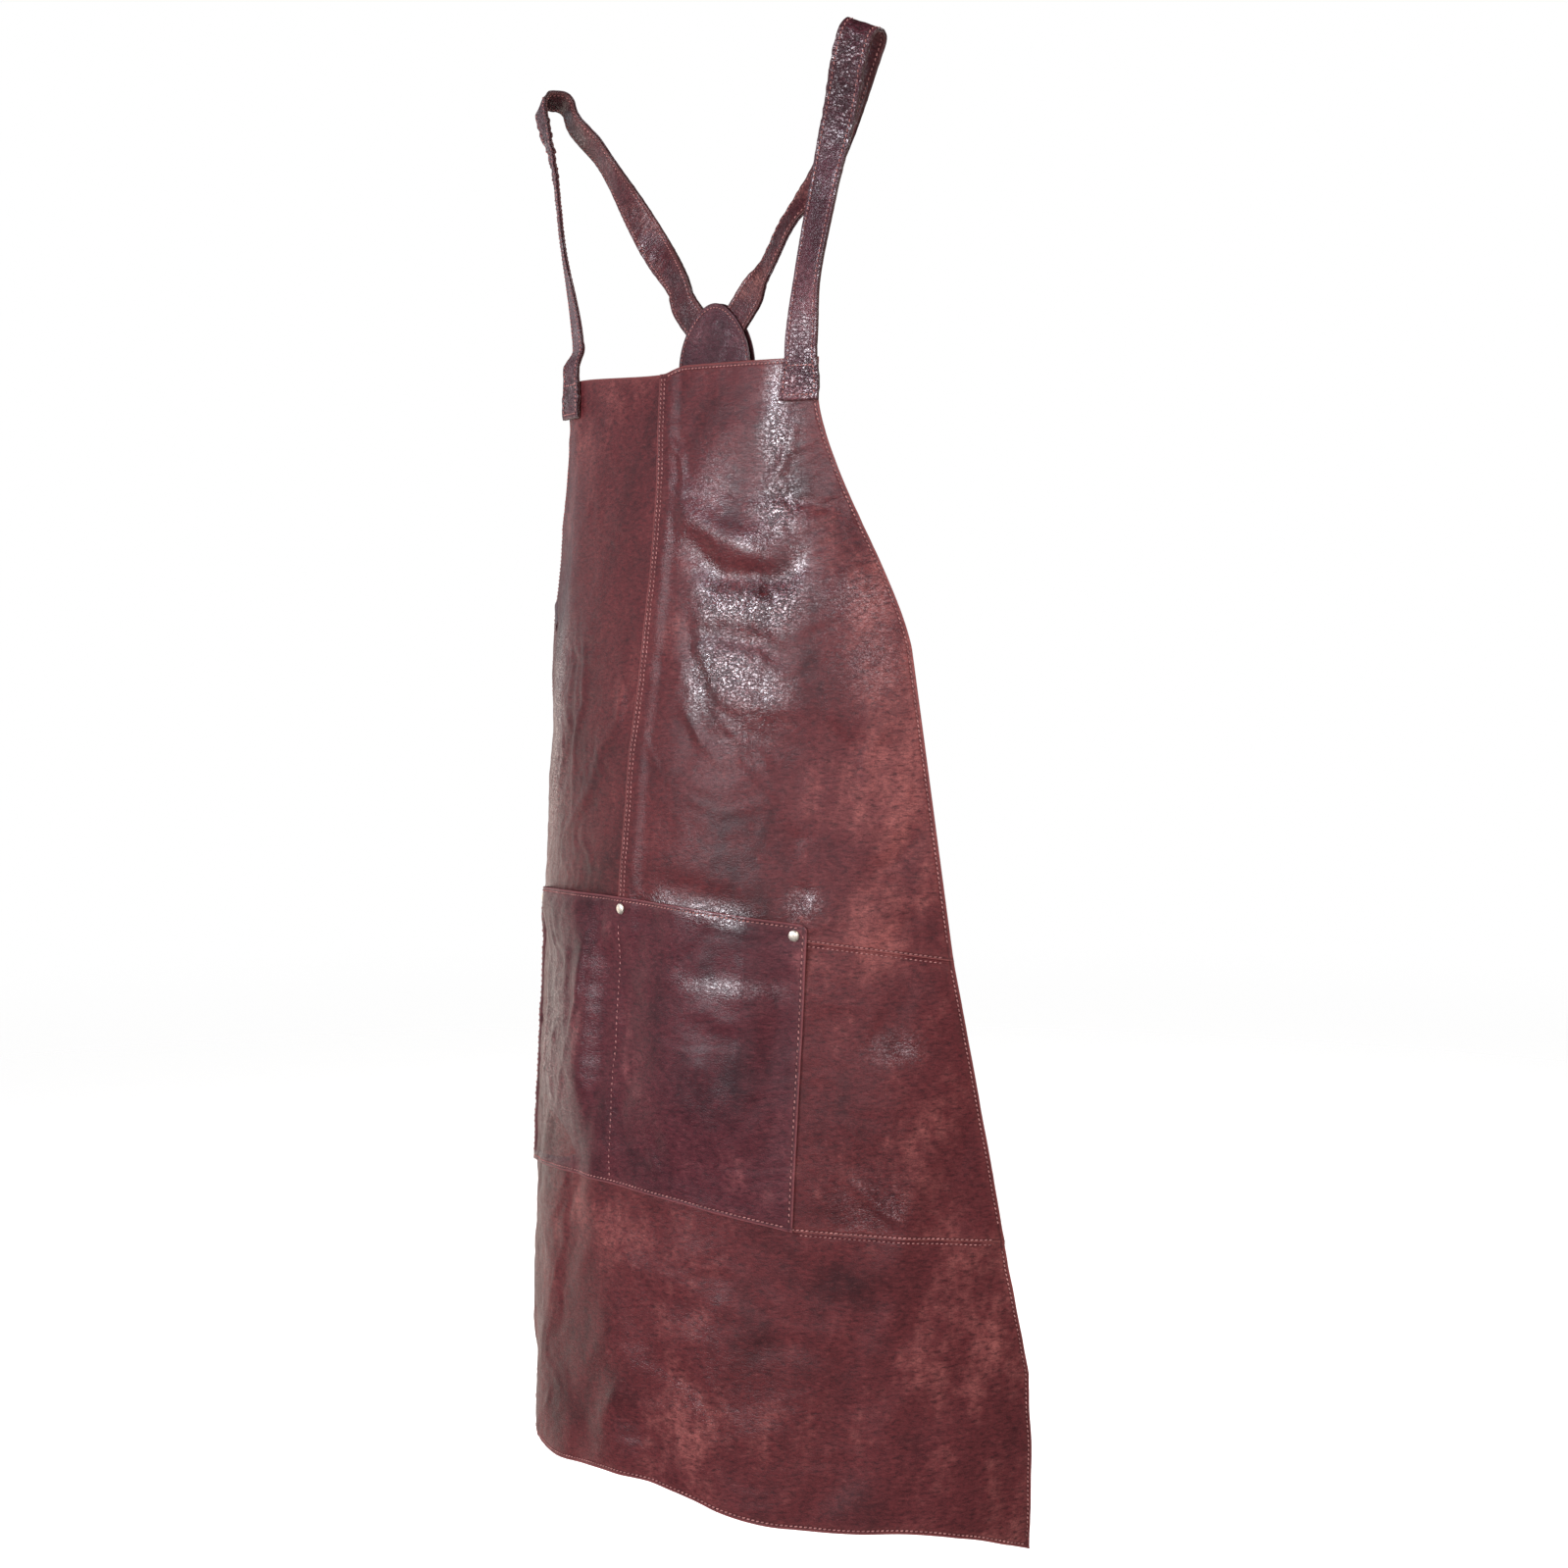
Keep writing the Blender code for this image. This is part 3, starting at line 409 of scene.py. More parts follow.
def creased(table, u, v):
    """The height of a table's creases, each fading out towards its two ends."""
    total = np.zeros_like(u)
    for height, half, points in table:
        d, t = line_distance(u, v, points)
        taper = np.sin(np.pi * np.clip(0.06 + 0.88 * t, 0, 1)) ** 0.6
        total += height * taper * bell(d / half)
    return total


def crumple(u, v):
    return np.clip(spots(CRUMPLES, u, v), 0, 1)


def relief(u, v):
    """How far the leather of every layer stands off the smooth sheet, in metres."""
    warp = 0.012 * waves(u, v, 3, 6, 0.05, 0.16)
    lower = smooth((v - 0.30) / 0.55)
    out = 0.0006 * waves(u, v, 11, 12, 0.06, 0.22)
    out += 0.0022 * lower * waves(u + warp, v * 0.35, 17, 8, 0.07, 0.22, lean=0.0, spread=0.25)
    out += 0.00018 * waves(u + warp, v - warp, 23, 16, 0.016, 0.045)
    side = smooth((-u - 0.02) / 0.05) * smooth((v - 0.16) / 0.08)
    out += 0.00030 * side * waves(u + 1.6 * warp, v, 29, 14, 0.014, 0.060, lean=0.15, spread=0.45)
    out += creased(CREASES, u, v) + spots(SWELLS, u, v)
    fine = waves(u + 0.3 * warp, v, 31, 18, 0.0065, 0.016)
    ridged = 0.9 - 1.6 * np.abs(waves(u, v + 0.3 * warp, 37, 12, 0.014, 0.034))
    out += crumple(u, v) * (0.00016 * fine + 0.00034 * ridged)
    ripple = bell((u - half_width(v) + 0.030) / 0.026) * bell((v - 0.135) / 0.050)
    out += 0.0005 * ripple * waves(u, v, 41, 8, 0.008, 0.016, lean=1.25, spread=0.16)
    curl = smooth((-u - 0.124) / 0.040) * smooth((0.24 - v) / 0.10) * smooth((v - 0.012) / 0.03)
    out -= 0.0045 * curl
    sewn_top = smooth((v + 0.01) / 0.04)
    return out * (0.25 + 0.75 * sewn_top)


def placed(u, v, n):
    """Points of the draped sheet at level n."""
    front = sheet_frame(u, v)[2]
    return sheet_base(u, v) + front * (n + relief(u, v))[..., None]


def placed_frame(u, v):
    """Across, down and outward directions of the draped sheet."""
    step = 0.001
    zero = np.zeros_like(u)
    across = unit(placed(u + step, v, zero) - placed(u - step, v, zero))
    down = unit(placed(u, v + step, zero) - placed(u, v - step, zero))
    return across, down, unit(np.cross(down, across))


# ---- meshes --------------------------------------------------------------------------------
def add_mesh(name, points, faces, finish, flat_uv=None, fields=None):
    """An object from arrays, its faces turned outwards, smooth shaded."""
    mesh = bpy.data.meshes.new(name)
    mesh.from_pydata(points.tolist(), [], faces)
    mesh.update()
    obj = bpy.data.objects.new(name, mesh)
    bpy.context.scene.collection.objects.link(obj)
    volume = 0.0
    for shift in range(1, max(len(f) for f in faces) - 1):
        tri = [(f[0], f[shift], f[shift + 1]) for f in faces if len(f) > shift + 1]
        a, b, c = (points[[t[i] for t in tri]] for i in range(3))
        volume += float(np.einsum("ij,ij->", a, np.cross(b, c)))
    if volume < 0:
        mesh.flip_normals()
    mesh.shade_smooth()
    if flat_uv is not None:
        layer = mesh.uv_layers.new(name="pattern")
        loops = np.zeros(len(mesh.loops), np.int32)
        mesh.loops.foreach_get("vertex_index", loops)
        layer.data.foreach_set("uv", flat_uv[loops].astype(np.float32).ravel())
    for key, values in (fields or {}).items():
        attribute = mesh.attributes.new(key, "FLOAT", "POINT")
        attribute.data.foreach_set("value", values.astype(np.float32))
    mesh.materials.append(finish)
    return obj


def grid_faces(rows, cols, around=False):
    """Quads of one grid of points, rows by cols, closed around its columns if asked."""
    index = np.arange(rows * cols).reshape(rows, cols)
    if around:
        index = np.concatenate([index, index[:, :1]], 1)
    return np.stack([index[:-1, :-1], index[:-1, 1:], index[1:, 1:], index[1:, :-1]], -1).reshape(-1, 4)


def shell(name, front, back, finish, flat_uv, fields):
    """A closed thin leather piece between two grids of points."""
    rows, cols = front.shape[:2]
    size = rows * cols
    index = np.arange(size).reshape(rows, cols)
    rim = np.concatenate([index[0, :-1], index[:-1, -1], index[-1, :0:-1], index[:0:-1, 0]])
    after = np.roll(rim, -1)
    faces = grid_faces(rows, cols)
    sides = np.stack([rim, rim + size, after + size, after], -1)
    every = np.concatenate([faces, faces[:, ::-1] + size, sides]).tolist()
    points = np.concatenate([front.reshape(-1, 3), back.reshape(-1, 3)])
    uv = flat_uv.reshape(-1, 2)
    uv = np.concatenate([uv, uv + BACK_UV])
    doubled = {k: np.concatenate([f.ravel(), f.ravel()]) for k, f in fields.items()}
    return add_mesh(name, points, every, finish, uv, doubled)


EDGE_STEPS = (0.0, 0.0002, 0.0005, 0.0009, 0.0016, 0.0024, 0.0032, 0.0040, 0.0048, 0.0060)


def stations(count, first=EDGE_STEPS, last=EDGE_STEPS):
    """Grid lines close together near both ends: each is share * length + offset."""
    t = np.linspace(0, 1, count)[1:-1]
    share = np.concatenate([np.zeros(len(first)), t, np.ones(len(last))])
    offset = np.concatenate([first, first[-1] * (1 - t) - last[-1] * t, -np.array(last)[::-1]])
    return share, offset


def edge_half(distance):
    """Half the leather's thickness, rounded over near a cut edge."""
    t = np.clip(distance / 0.0009, 0, 1)
    return LEATHER / 2 * (0.40 + 0.60 * np.sqrt(np.clip(1 - (1 - t) ** 2, 0, 1)))


class Panel:
    """One flat-cut leather panel: its grid on the pattern, its stitch rows and its relief."""

    def __init__(self, name, left, right, top, bottom, level, rows=(), extra=None, top_steps=EDGE_STEPS,
                 pitch=PANEL_PITCH, finish="panel"):
        self.name, self.level, self.finish = name, level, finish
        zero = np.zeros(1)
        tall = float((bottom(zero) - top(zero))[0])
        middle = float((top(zero) + bottom(zero))[0]) / 2
        rows_across = np.array((middle, middle + tall / 2))
        wide = float((right(rows_across) - left(rows_across)).max())
        a, b = stations(max(4, round(wide / pitch)))
        c, d = stations(max(4, round(tall / pitch)), first=top_steps)
        v = (top(zero)[0] + c * tall + d)[:, None] + np.zeros(len(a))
        u = v
        for _ in range(5):
            low, high = left(v), right(v)
            u = low + a * (high - low) + b
            low, high = top(u), bottom(u)
            v = low + c[:, None] * (high - low) + d[:, None]
        self.u, self.v = u, v
        gaps = {"left": u - left(v), "right": right(v) - u, "top": v - top(u), "bottom": bottom(u) - v}
        self.edge = np.minimum.reduce(list(gaps.values()))
        groove = np.zeros_like(u)
        for side, inset in rows:
            groove = np.maximum(groove, bell((gaps[side] - inset) / GROOVE_HALF))
        self.groove = groove
        self.raised = np.zeros_like(u) if extra is None else extra(u, v)

    def build(self):
        u, v = self.u, self.v
        n = self.level(u, v) + self.raised - GROOVE_DEPTH * self.groove
        half = edge_half(self.edge)
        mid = sheet_base(u, v)
        front = sheet_frame(u, v)[2]
        stand = n + relief(u, v)
        # tone_and_shade: the dye's uneven spots, and the painted shade of the crease valleys and seams
        fields = {"edge": self.edge, "groove": self.groove, "crumple": crumple(u, v),
                  "tone_and_shade": spots(TONES_AND_SHADE, u, v), "polish": np.clip(spots(POLISHED, u, v), 0, 1)}
        face, back = (mid + front * (stand + side * half)[..., None] for side in (1, -1))
        obj = shell(self.name, face, back, FINISH[self.finish], np.stack([u, v], -1), fields)
        du = np.diff(u, axis=1)[:-1]
        dv = np.diff(v, axis=0)[:, :-1]
        self.area = float((du * dv).sum())
        self.flat = (float(np.ptp(u)), float(np.ptp(v)))
        return obj


def fit(obj, body, node):
    """Sets a piece on its body, in place of its CAD node."""
    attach(obj, body)
    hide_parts(node)


def thread(name, runs, pitch=STITCH_PITCH):
    """One mesh of stitches. Each run is arrays of points and outward normals along a sewn line."""
    sides = 5
    along = np.array((-0.5, -0.22, 0.22, 0.5)) * STITCH_LENGTH
    radius = np.array((0.45, 1.0, 1.0, 0.45)) * THREAD_R
    height = np.array((-0.75, 0.35, 0.35, -0.75)) * THREAD_R
    turn = 2 * math.pi * np.arange(sides) / sides
    ring = np.stack([np.cos(turn), np.sin(turn)], -1)
    points, faces = [], []
    used = 0
    for line, normals in runs:
        steps = np.linalg.norm(np.diff(line, axis=0), axis=1)
        length = np.concatenate([[0], np.cumsum(steps)])
        count = int((length[-1] - STITCH_LENGTH) / pitch)
        if count < 1:
            continue
        at = (length[-1] - count * pitch) / 2 + pitch * np.arange(count + 1)
        centre = sampled(at, length, line)
        out = unit(sampled(at, length, normals))
        t = unit(sampled(at + 0.0012, length, line) - sampled(at - 0.0012, length, line))
        side = unit(np.cross(out, t))
        out = np.cross(t, side)
        slant = t * 0.97 + side * 0.16
        circle = radius[:, None, None, None] * ring[None, :, :, None]
        made = centre[:, None, None] + slant[:, None, None] * along[:, None, None]
        made = made + out[:, None, None] * (height[:, None, None] + circle[:, :, 1])
        made = made + side[:, None, None] * circle[:, :, 0]
        points.append(made.reshape(-1, 3))
        for k in range(len(at)):
            base = used + k * sides * 4
            faces.extend((grid_faces(4, sides, around=True) + base).tolist())
            faces.append([base + i for i in range(sides)][::-1])
            faces.append([base + 3 * sides + i for i in range(sides)])
        used += made.size // 3
    return add_mesh(name, np.concatenate(points), faces, FINISH["thread"])


def sewn(u, v, level, side=1):
    """A run of stitches along pattern points, on the front (side 1) or the back (side -1)."""
    u, v = np.asarray(u, float), np.asarray(v, float)
    stand = (level(u, v) if callable(level) else level) + side * (LEATHER / 2 - GROOVE_DEPTH * 0.6)
    out = placed_frame(u, v)[2]
    return placed(u, v, np.zeros_like(u) + stand), out * side


# ---- materials -----------------------------------------------------------------------------
class Graph:
    """Short calls for a material's nodes."""

    def __init__(self, name):
        self.material = bpy.data.materials.new(name)
        self.material.use_nodes = True
        self.tree = self.material.node_tree
        self.shader = self.tree.nodes["Principled BSDF"]

    def node(self, kind, settings=None, **inputs):
        made = self.tree.nodes.new("ShaderNode" + kind)
        for key, value in (settings or {}).items():
            setattr(made, key, value)
        for key, value in inputs.items():
            self.feed(made.inputs[key.replace("_", " ")], value)
        return made

    def feed(self, socket, value):
        if isinstance(value, bpy.types.NodeSocket):
            self.tree.links.new(value, socket)
        else:
            socket.default_value = value

    def math(self, operation, a, b=0.0, c=0.0):
        made = self.tree.nodes.new("ShaderNodeMath")
        made.operation = operation
        for socket, value in zip(made.inputs, (a, b, c)):
            self.feed(socket, value)
        return made.outputs[0]

    def span(self, value, low, high, to_low=0.0, to_high=1.0):
        made = self.node("MapRange", {"interpolation_type": "SMOOTHSTEP"}, Value=value, From_Min=low,
                         From_Max=high, To_Min=to_low, To_Max=to_high)
        return made.outputs["Result"]

    def blend(self, amount, a, b):
        made = self.tree.nodes.new("ShaderNodeMix")
        made.data_type = "RGBA"
        self.feed(made.inputs[0], amount)
        self.feed(made.inputs[6], a if isinstance(a, bpy.types.NodeSocket) else (*a, 1))
        self.feed(made.inputs[7], b if isinstance(b, bpy.types.NodeSocket) else (*b, 1))
        return made.outputs[2]

    def attribute(self, name):
        return self.node("Attribute", {"attribute_name": name}).outputs["Fac"]

    def noise(self, where, scale, detail=3.0, roughness=0.55):
        return self.node("TexNoise", None, Vector=where, Scale=scale, Detail=detail,
                         Roughness=roughness).outputs["Fac"]


def leather_grain(g, where):
    """The textures of one hide, each from 0 to 1."""
    def stretched(tall, turn=0.0):
        return g.node("Mapping", None, Vector=where, Rotation=(0.0, 0.0, turn),
                      Scale=(1.0, tall, 1.0)).outputs["Vector"]

    def veins(noise, width):
        """Fine lines where a noise passes its middle: 0 on a line and 1 beside it."""
        return g.span(g.math("ABSOLUTE", g.math("SUBTRACT", noise, 0.5)), 0.0, width)

    wobble = g.node("TexNoise", None, Vector=where, Scale=210.0, Detail=2.0).outputs["Color"]
    bend = g.node("Mix", {"data_type": "VECTOR"})
    g.feed(bend.inputs[0], 0.0016)
    g.feed(bend.inputs[4], where)
    g.feed(bend.inputs[5], wobble)
    cells = g.node("TexVoronoi", {"feature": "DISTANCE_TO_EDGE"}, Vector=bend.outputs[1],
                   Scale=GRAIN_SCALE).outputs["Distance"]
    return {
        "clouds": g.noise(where, 7.0, 4.0, 0.6),
        "streaks": g.noise(stretched(0.45), 34.0, 5.0, 0.62),
        "mottle": g.noise(where, 120.0, 4.0, 0.65),
        "crepe": g.noise(stretched(2.4, 0.45), 165.0, 5.0, 0.70),
        "lines": veins(g.noise(stretched(2.2), 120.0, 4.0, 0.62), 0.07),
        "folds": veins(g.noise(stretched(1.7), 185.0, 3.0, 0.55), 0.075),
        "small_folds": veins(g.noise(where, 330.0, 2.0, 0.5), 0.09),
        "pebbles": g.span(cells, 0.0, 0.32),
        "pores": g.noise(where, 1500.0, 2.0, 0.6),
    }


def leather_colour(g, grain, wrinkled, rim, dyes_and_painted_light):
    """The dye, uneven over the hide and rubbed lighter at the edges; painted shade darkens the fine crease
    lines, the stitch grooves and the dark tone spots, and each cut edge gets a rim colour, on the panels a
    painted highlight over the raw edge's lighter colour.
    """
    deep_dye_and_shade, base, worn_and_edge_highlight, rim_colour = dyes_and_painted_light
    tone_and_shade = g.math("MULTIPLY_ADD", grain["clouds"], 1.5, -0.25)
    # the spots read here are dye tone, and painted shade where they are dark in the crease valleys and along
    # the seams
    tone_and_shade = g.math("MULTIPLY_ADD", g.attribute("tone_and_shade"), 0.34, tone_and_shade)
    tone_and_shade = g.math("MULTIPLY_ADD", g.math("SUBTRACT", grain["streaks"], 0.5), 0.95, tone_and_shade)
    tone_and_shade = g.math("MULTIPLY_ADD", g.math("SUBTRACT", grain["mottle"], 0.5), 0.60, tone_and_shade)
    colour = g.blend(g.span(tone_and_shade, 0.02, 0.56), deep_dye_and_shade, base)
    colour = g.blend(g.span(tone_and_shade, 0.52, 1.10), colour, worn_and_edge_highlight)
    colour = g.blend(g.math("MULTIPLY_ADD", grain["lines"], -0.34, 0.34), colour, deep_dye_and_shade)
    colour = g.blend(g.span(grain["crepe"], 0.52, 0.34, 0.0, 0.70), colour, deep_dye_and_shade)
    colour = g.blend(g.span(grain["crepe"], 0.54, 0.74, 0.0, 0.28), colour, worn_and_edge_highlight)
    # painted shade: the colour darkens along the fine wrinkle lines where the leather crumples or is
    # polished, where the creases' shade falls, and a little in the pebble grain's furrows
    crease_shade = g.math("MULTIPLY", g.math("SUBTRACT", 1.0, grain["folds"]), g.math("MULTIPLY", wrinkled, 0.80))
    crease_shade = g.math("MULTIPLY_ADD", g.math("SUBTRACT", 1.0, grain["pebbles"]), 0.16, crease_shade)
    colour = g.blend(crease_shade, colour, deep_dye_and_shade)
    # near a cut edge the colour turns to the rim colour: on panels and pocket the worn colour, a painted
    # highlight where the rounded edge catches the light over the raw edge's lighter colour; on straps and
    # lining a dark line along the edge
    colour = g.blend(g.math("MULTIPLY", rim, 0.45), colour, rim_colour)
    colour = g.blend(g.span(g.attribute("edge"), 0.0, 0.010, 0.12, 0.0), colour, worn_and_edge_highlight)
    # painted shade: the colour darkens in the stitch grooves
    return g.blend(g.math("MULTIPLY", g.attribute("groove"), 0.62), colour, deep_dye_and_shade)


def leather(name, deep_dye_and_shade, base, worn_and_edge_highlight, roughness, coat, crinkle_depth=0.00009, crinkle_always=0.0,
            rim_colour=None):
    """Full-grain leather: dye clouds, pebble grain, fine wrinkles where it crumples with painted shade in
    their lines, a polish where creasing has rubbed it, edges worn lighter, and a rim at each cut edge that
    on the panels is a painted highlight."""
    g = Graph(name)
    grain = leather_grain(g, g.node("UVMap", {"uv_map": "pattern"}).outputs["UV"])
    polish = g.attribute("polish")
    wrinkled = g.math("ADD", g.attribute("crumple"), crinkle_always)
    wrinkled = g.math("MULTIPLY_ADD", polish, 0.55, wrinkled)
    rim = g.span(g.attribute("edge"), 0.0003, 0.0017, 1.0, 0.0)
    # on the panels the rim takes the worn colour, which there is a painted highlight on the rounded cut edge
    # over the raw edge's lighter colour
    colour = leather_colour(g, grain, wrinkled, rim, (deep_dye_and_shade, base, worn_and_edge_highlight, rim_colour or worn_and_edge_highlight))
    g.feed(g.shader.inputs["Base Color"], colour)
    folds = g.math("MULTIPLY_ADD", grain["small_folds"], 0.5, grain["folds"])
    height = g.math("MULTIPLY", g.math("MULTIPLY", wrinkled, folds), crinkle_depth)
    for texture, depth in (("pebbles", GRAIN_DEPTH), ("pores", GRAIN_DEPTH * 0.35), ("streaks", 0.0002),
                           ("lines", GRAIN_DEPTH), ("crepe", 0.00022)):
        height = g.math("MULTIPLY_ADD", grain[texture], depth, height)
    bump = g.node("Bump", None, Strength=1.0, Distance=1.0, Height=height)
    g.feed(g.shader.inputs["Normal"], bump.outputs["Normal"])
    g.feed(g.shader.inputs["Coat Normal"], bump.outputs["Normal"])
    rough = g.math("MULTIPLY_ADD", g.math("SUBTRACT", grain["mottle"], 0.5), 0.25, roughness)
    rough = g.math("MULTIPLY_ADD", g.math("SUBTRACT", 1.0, grain["pebbles"]), 0.16, rough)
    rough = g.math("MULTIPLY_ADD", rim, 0.12, rough)
    g.feed(g.shader.inputs["Roughness"], g.math("MULTIPLY_ADD", polish, -0.08, rough))
    unbroken = g.math("MULTIPLY_ADD", g.math("MULTIPLY", grain["folds"], grain["small_folds"]), 0.88, 0.12)
    shine = g.math("MULTIPLY_ADD", g.math("MULTIPLY", polish, coat), unbroken, 0.035)
    g.feed(g.shader.inputs["Coat Weight"], shine)
    g.shader.inputs["Specular IOR Level"].default_value = 0.14
    g.shader.inputs["Coat Roughness"].default_value = 0.055
    g.shader.inputs["Coat IOR"].default_value = 2.05
    return g.material


def nickel(name):
    """Nickel-plated steel with fine brushing, a little dulled in spots."""
    g = Graph(name)
    where = g.node("TexCoord").outputs["Object"]
    cloud = g.noise(where, 260.0, 3.0)
    drawn_out = g.node("Mapping", None, Vector=where, Scale=(1.0, 14.0, 14.0)).outputs["Vector"]
    brushed = g.noise(drawn_out, 300.0, 2.0)
    dull = g.math("MULTIPLY_ADD", brushed, 0.4, cloud)
    g.feed(g.shader.inputs["Base Color"], g.blend(cloud, (0.62, 0.56, 0.46), (0.90, 0.84, 0.72)))
    g.feed(g.shader.inputs["Roughness"], g.span(dull, 0.3, 1.1, 0.24, 0.44))
    bump = g.node("Bump", None, Strength=0.35, Distance=0.0002, Height=brushed)
    g.feed(g.shader.inputs["Normal"], bump.outputs["Normal"])
    g.shader.inputs["Metallic"].default_value = 0.82
    return g.material


def sewing_thread(name):
    """Waxed polyester thread: dusty red with twisted plies."""
    g = Graph(name)
    where = g.node("TexCoord").outputs["Object"]
    soil = g.noise(where, 90.0, 3.0)
    plies = g.node("TexWave", {"bands_direction": "DIAGONAL"}, Vector=where, Scale=900.0, Distortion=1.0)
    colour = g.blend(g.span(soil, 0.35, 0.7), (0.20, 0.070, 0.066), (0.40, 0.17, 0.155))
    colour = g.blend(g.math("MULTIPLY", plies.outputs["Fac"], 0.3), colour, (0.10, 0.03, 0.03))
    g.feed(g.shader.inputs["Base Color"], colour)
    g.feed(g.shader.inputs["Roughness"], g.span(soil, 0.3, 0.7, 0.55, 0.75))
    bump = g.node("Bump", None, Strength=0.5, Distance=0.0002, Height=plies.outputs["Fac"])
    g.feed(g.shader.inputs["Normal"], bump.outputs["Normal"])
    return g.material


# each leather's colours: deep (dark dye, and the painted shade of crease lines and grooves), base, worn
# (light dye and wear, and on the panels the painted highlight of the cut edges), then roughness, coat and,
# for straps, a dark rim colour
FINISH = {
    "panel": leather("panel_leather_look", (0.022, 0.0048, 0.0064), (0.080, 0.0135, 0.0155),
                     (0.215, 0.062, 0.056), 0.40, 1.0),
    "pocket": leather("pocket_leather_look", (0.018, 0.0042, 0.0068), (0.064, 0.0120, 0.0168),
                      (0.19, 0.058, 0.060), 0.38, 1.0),
    "strap": leather("strap_leather_look", (0.020, 0.0055, 0.0080), (0.066, 0.017, 0.025),
                     (0.150, 0.054, 0.062), 0.30, 0.95, crinkle_depth=0.0002, crinkle_always=0.14,
                     rim_colour=(0.016, 0.005, 0.005)),
    "lining": leather("lining_leather_look", (0.026, 0.008, 0.010), (0.080, 0.021, 0.025),
                      (0.21, 0.082, 0.070), 0.36, 0.50, crinkle_always=0.20,
                      rim_colour=(0.020, 0.007, 0.006)),
    "nickel": nickel("nickel_steel_look"),
    "thread": sewing_thread("thread_look"),
}


# ---- body panels ---------------------------------------------------------------------------
def right_side(v):
    return -half_width(v)


def bib_bottom(u):
    return row(UPPER_SEAM, u) + EDGE_TRIM


def waist_bottom(u):
    """Lower edge of the waist row: it dips under the pocket's lower edge, then runs to the side."""
    tucked = row(POCKET_BOTTOM, u) - 0.0005
    past = smooth((abs(u) - POCKET_HALF + 0.001) / 0.006)
    return tucked * (1 - past) + (row(LOWER_SEAM, u) + EDGE_TRIM) * past


def hem(u):
    return row(HEM, u) + HEM_WAVE * np.sin(2 * np.pi * (u - 0.105) / HEM_WAVE_LENGTH)


def left_top(u):
    """Top of the bib's left half: it climbs past the seam, then runs level."""
    return TOP_STEP * (1 - smooth(u / 0.024)) - 0.0015 * smooth(u / 0.024)


def right_top(u):
    """Top of the bib's right half, lowest at the seam."""
    return TOP_STEP * smooth((u + 0.13) / 0.12)


def bib_left_level(u, v):
    return 2 * LAYER + LAYER * (1 - smooth((u - centre_seam(v) - CENTRE_LAP - 0.001) / 0.012))


def pocket_level(u, v):
    below = v - row(POCKET_TOP, u)
    over_lap = 1 - smooth((abs(u) - 0.012) / 0.012)
    at_mouth = LAYER * (1 + over_lap) * (1 - smooth((below - 0.023) / 0.030))
    from_divider = np.where(u > 0, (u - 0.003) / 0.095, (-u - 0.010) / 0.045)
    bulge = smooth(from_divider) * smooth((POCKET_HALF - abs(u) - 0.012) / 0.035)
    bulge = bulge * smooth((row(POCKET_BOTTOM, u) - v - 0.010) / 0.070)
    return 2 * LAYER + at_mouth * (1 - bulge) + POCKET_DEPTH * bulge


def pocket_edge(u):
    """The pocket's mouth, its two corners rounded."""
    into = np.clip((abs(u) - POCKET_HALF + POCKET_CORNER) / POCKET_CORNER, 0, 1)
    return row(POCKET_TOP, u) + POCKET_CORNER * (1 - np.sqrt(np.clip(1 - into ** 2, 0, 1)))


POCKET_CREASES = (
    (-0.0009, 0.0090, ((0.052, 0.466), (0.104, 0.468), (0.158, 0.466))),
    (-0.0014, 0.0050, ((0.091, 0.436), (0.080, 0.449), (0.068, 0.462))),
    (0.0016, 0.0045, ((-0.036, 0.443), (-0.042, 0.468), (-0.045, 0.500), (-0.055, 0.530), (-0.073, 0.578))),
    (0.0022, 0.0120, ((-0.034, 0.476), (-0.036, 0.520), (-0.038, 0.560), (-0.036, 0.604))),
    (0.0007, 0.0050, ((-0.066, 0.446), (-0.072, 0.490), (-0.066, 0.540), (-0.080, 0.600))),
    (-0.0012, 0.0050, ((-0.055, 0.452), (-0.059, 0.492), (-0.058, 0.526))),
    (0.0006, 0.0050, ((-0.092, 0.454), (-0.098, 0.510), (-0.090, 0.560), (-0.104, 0.612))),
    (-0.0006, 0.0060, ((-0.084, 0.500), (-0.088, 0.560), (-0.096, 0.604))),
    (0.0005, 0.0060, ((-0.124, 0.460), (-0.120, 0.520), (-0.132, 0.590))),
    (0.0008, 0.0040, ((0.040, 0.590), (0.048, 0.612), (0.058, 0.628))),
    (0.0010, 0.0070, ((0.072, 0.500), (0.098, 0.492), (0.120, 0.505))),
    (-0.0010, 0.0060, ((0.100, 0.600), (0.128, 0.580), (0.146, 0.548))),
)


def pocket_relief(u, v):
    """The pocket's own folds, fading out towards its sewn edges."""
    out = creased(POCKET_CREASES, u, v) + 0.0003 * waves(u, v, 51, 12, 0.025, 0.07)
    out += 0.00014 * smooth((-u - 0.015) / 0.03) * waves(u, v, 53, 12, 0.014, 0.040, lean=0.1, spread=0.35)
    out -= 0.0085 * np.clip((-u - 0.030) / 0.084, 0, 1) * smooth((v - 0.425) / 0.05)
    inside = np.minimum(np.minimum(abs(u), POCKET_HALF - abs(u)), row(POCKET_BOTTOM, u) - v)
    return out * smooth((inside - 0.004) / 0.014)


def felled_top(edge):
    """The ridge that the seam allowance raises on the lower of two rows."""
    def raised(u, v):
        below = v - edge(u)
        return (RIDGE_HEIGHT * bell((below - RIDGE_BELOW) / 0.0010)
                - GROOVE_DEPTH * bell((below - SEAM_ROW_BELOW) / GROOVE_HALF))
    return raised


def beside_pocket(u, v):
    """The lower seam's ridge, which only shows beside the pocket."""
    return felled_top(waist_bottom)(u, v) * smooth((abs(u) - POCKET_HALF - 0.002) / 0.006)


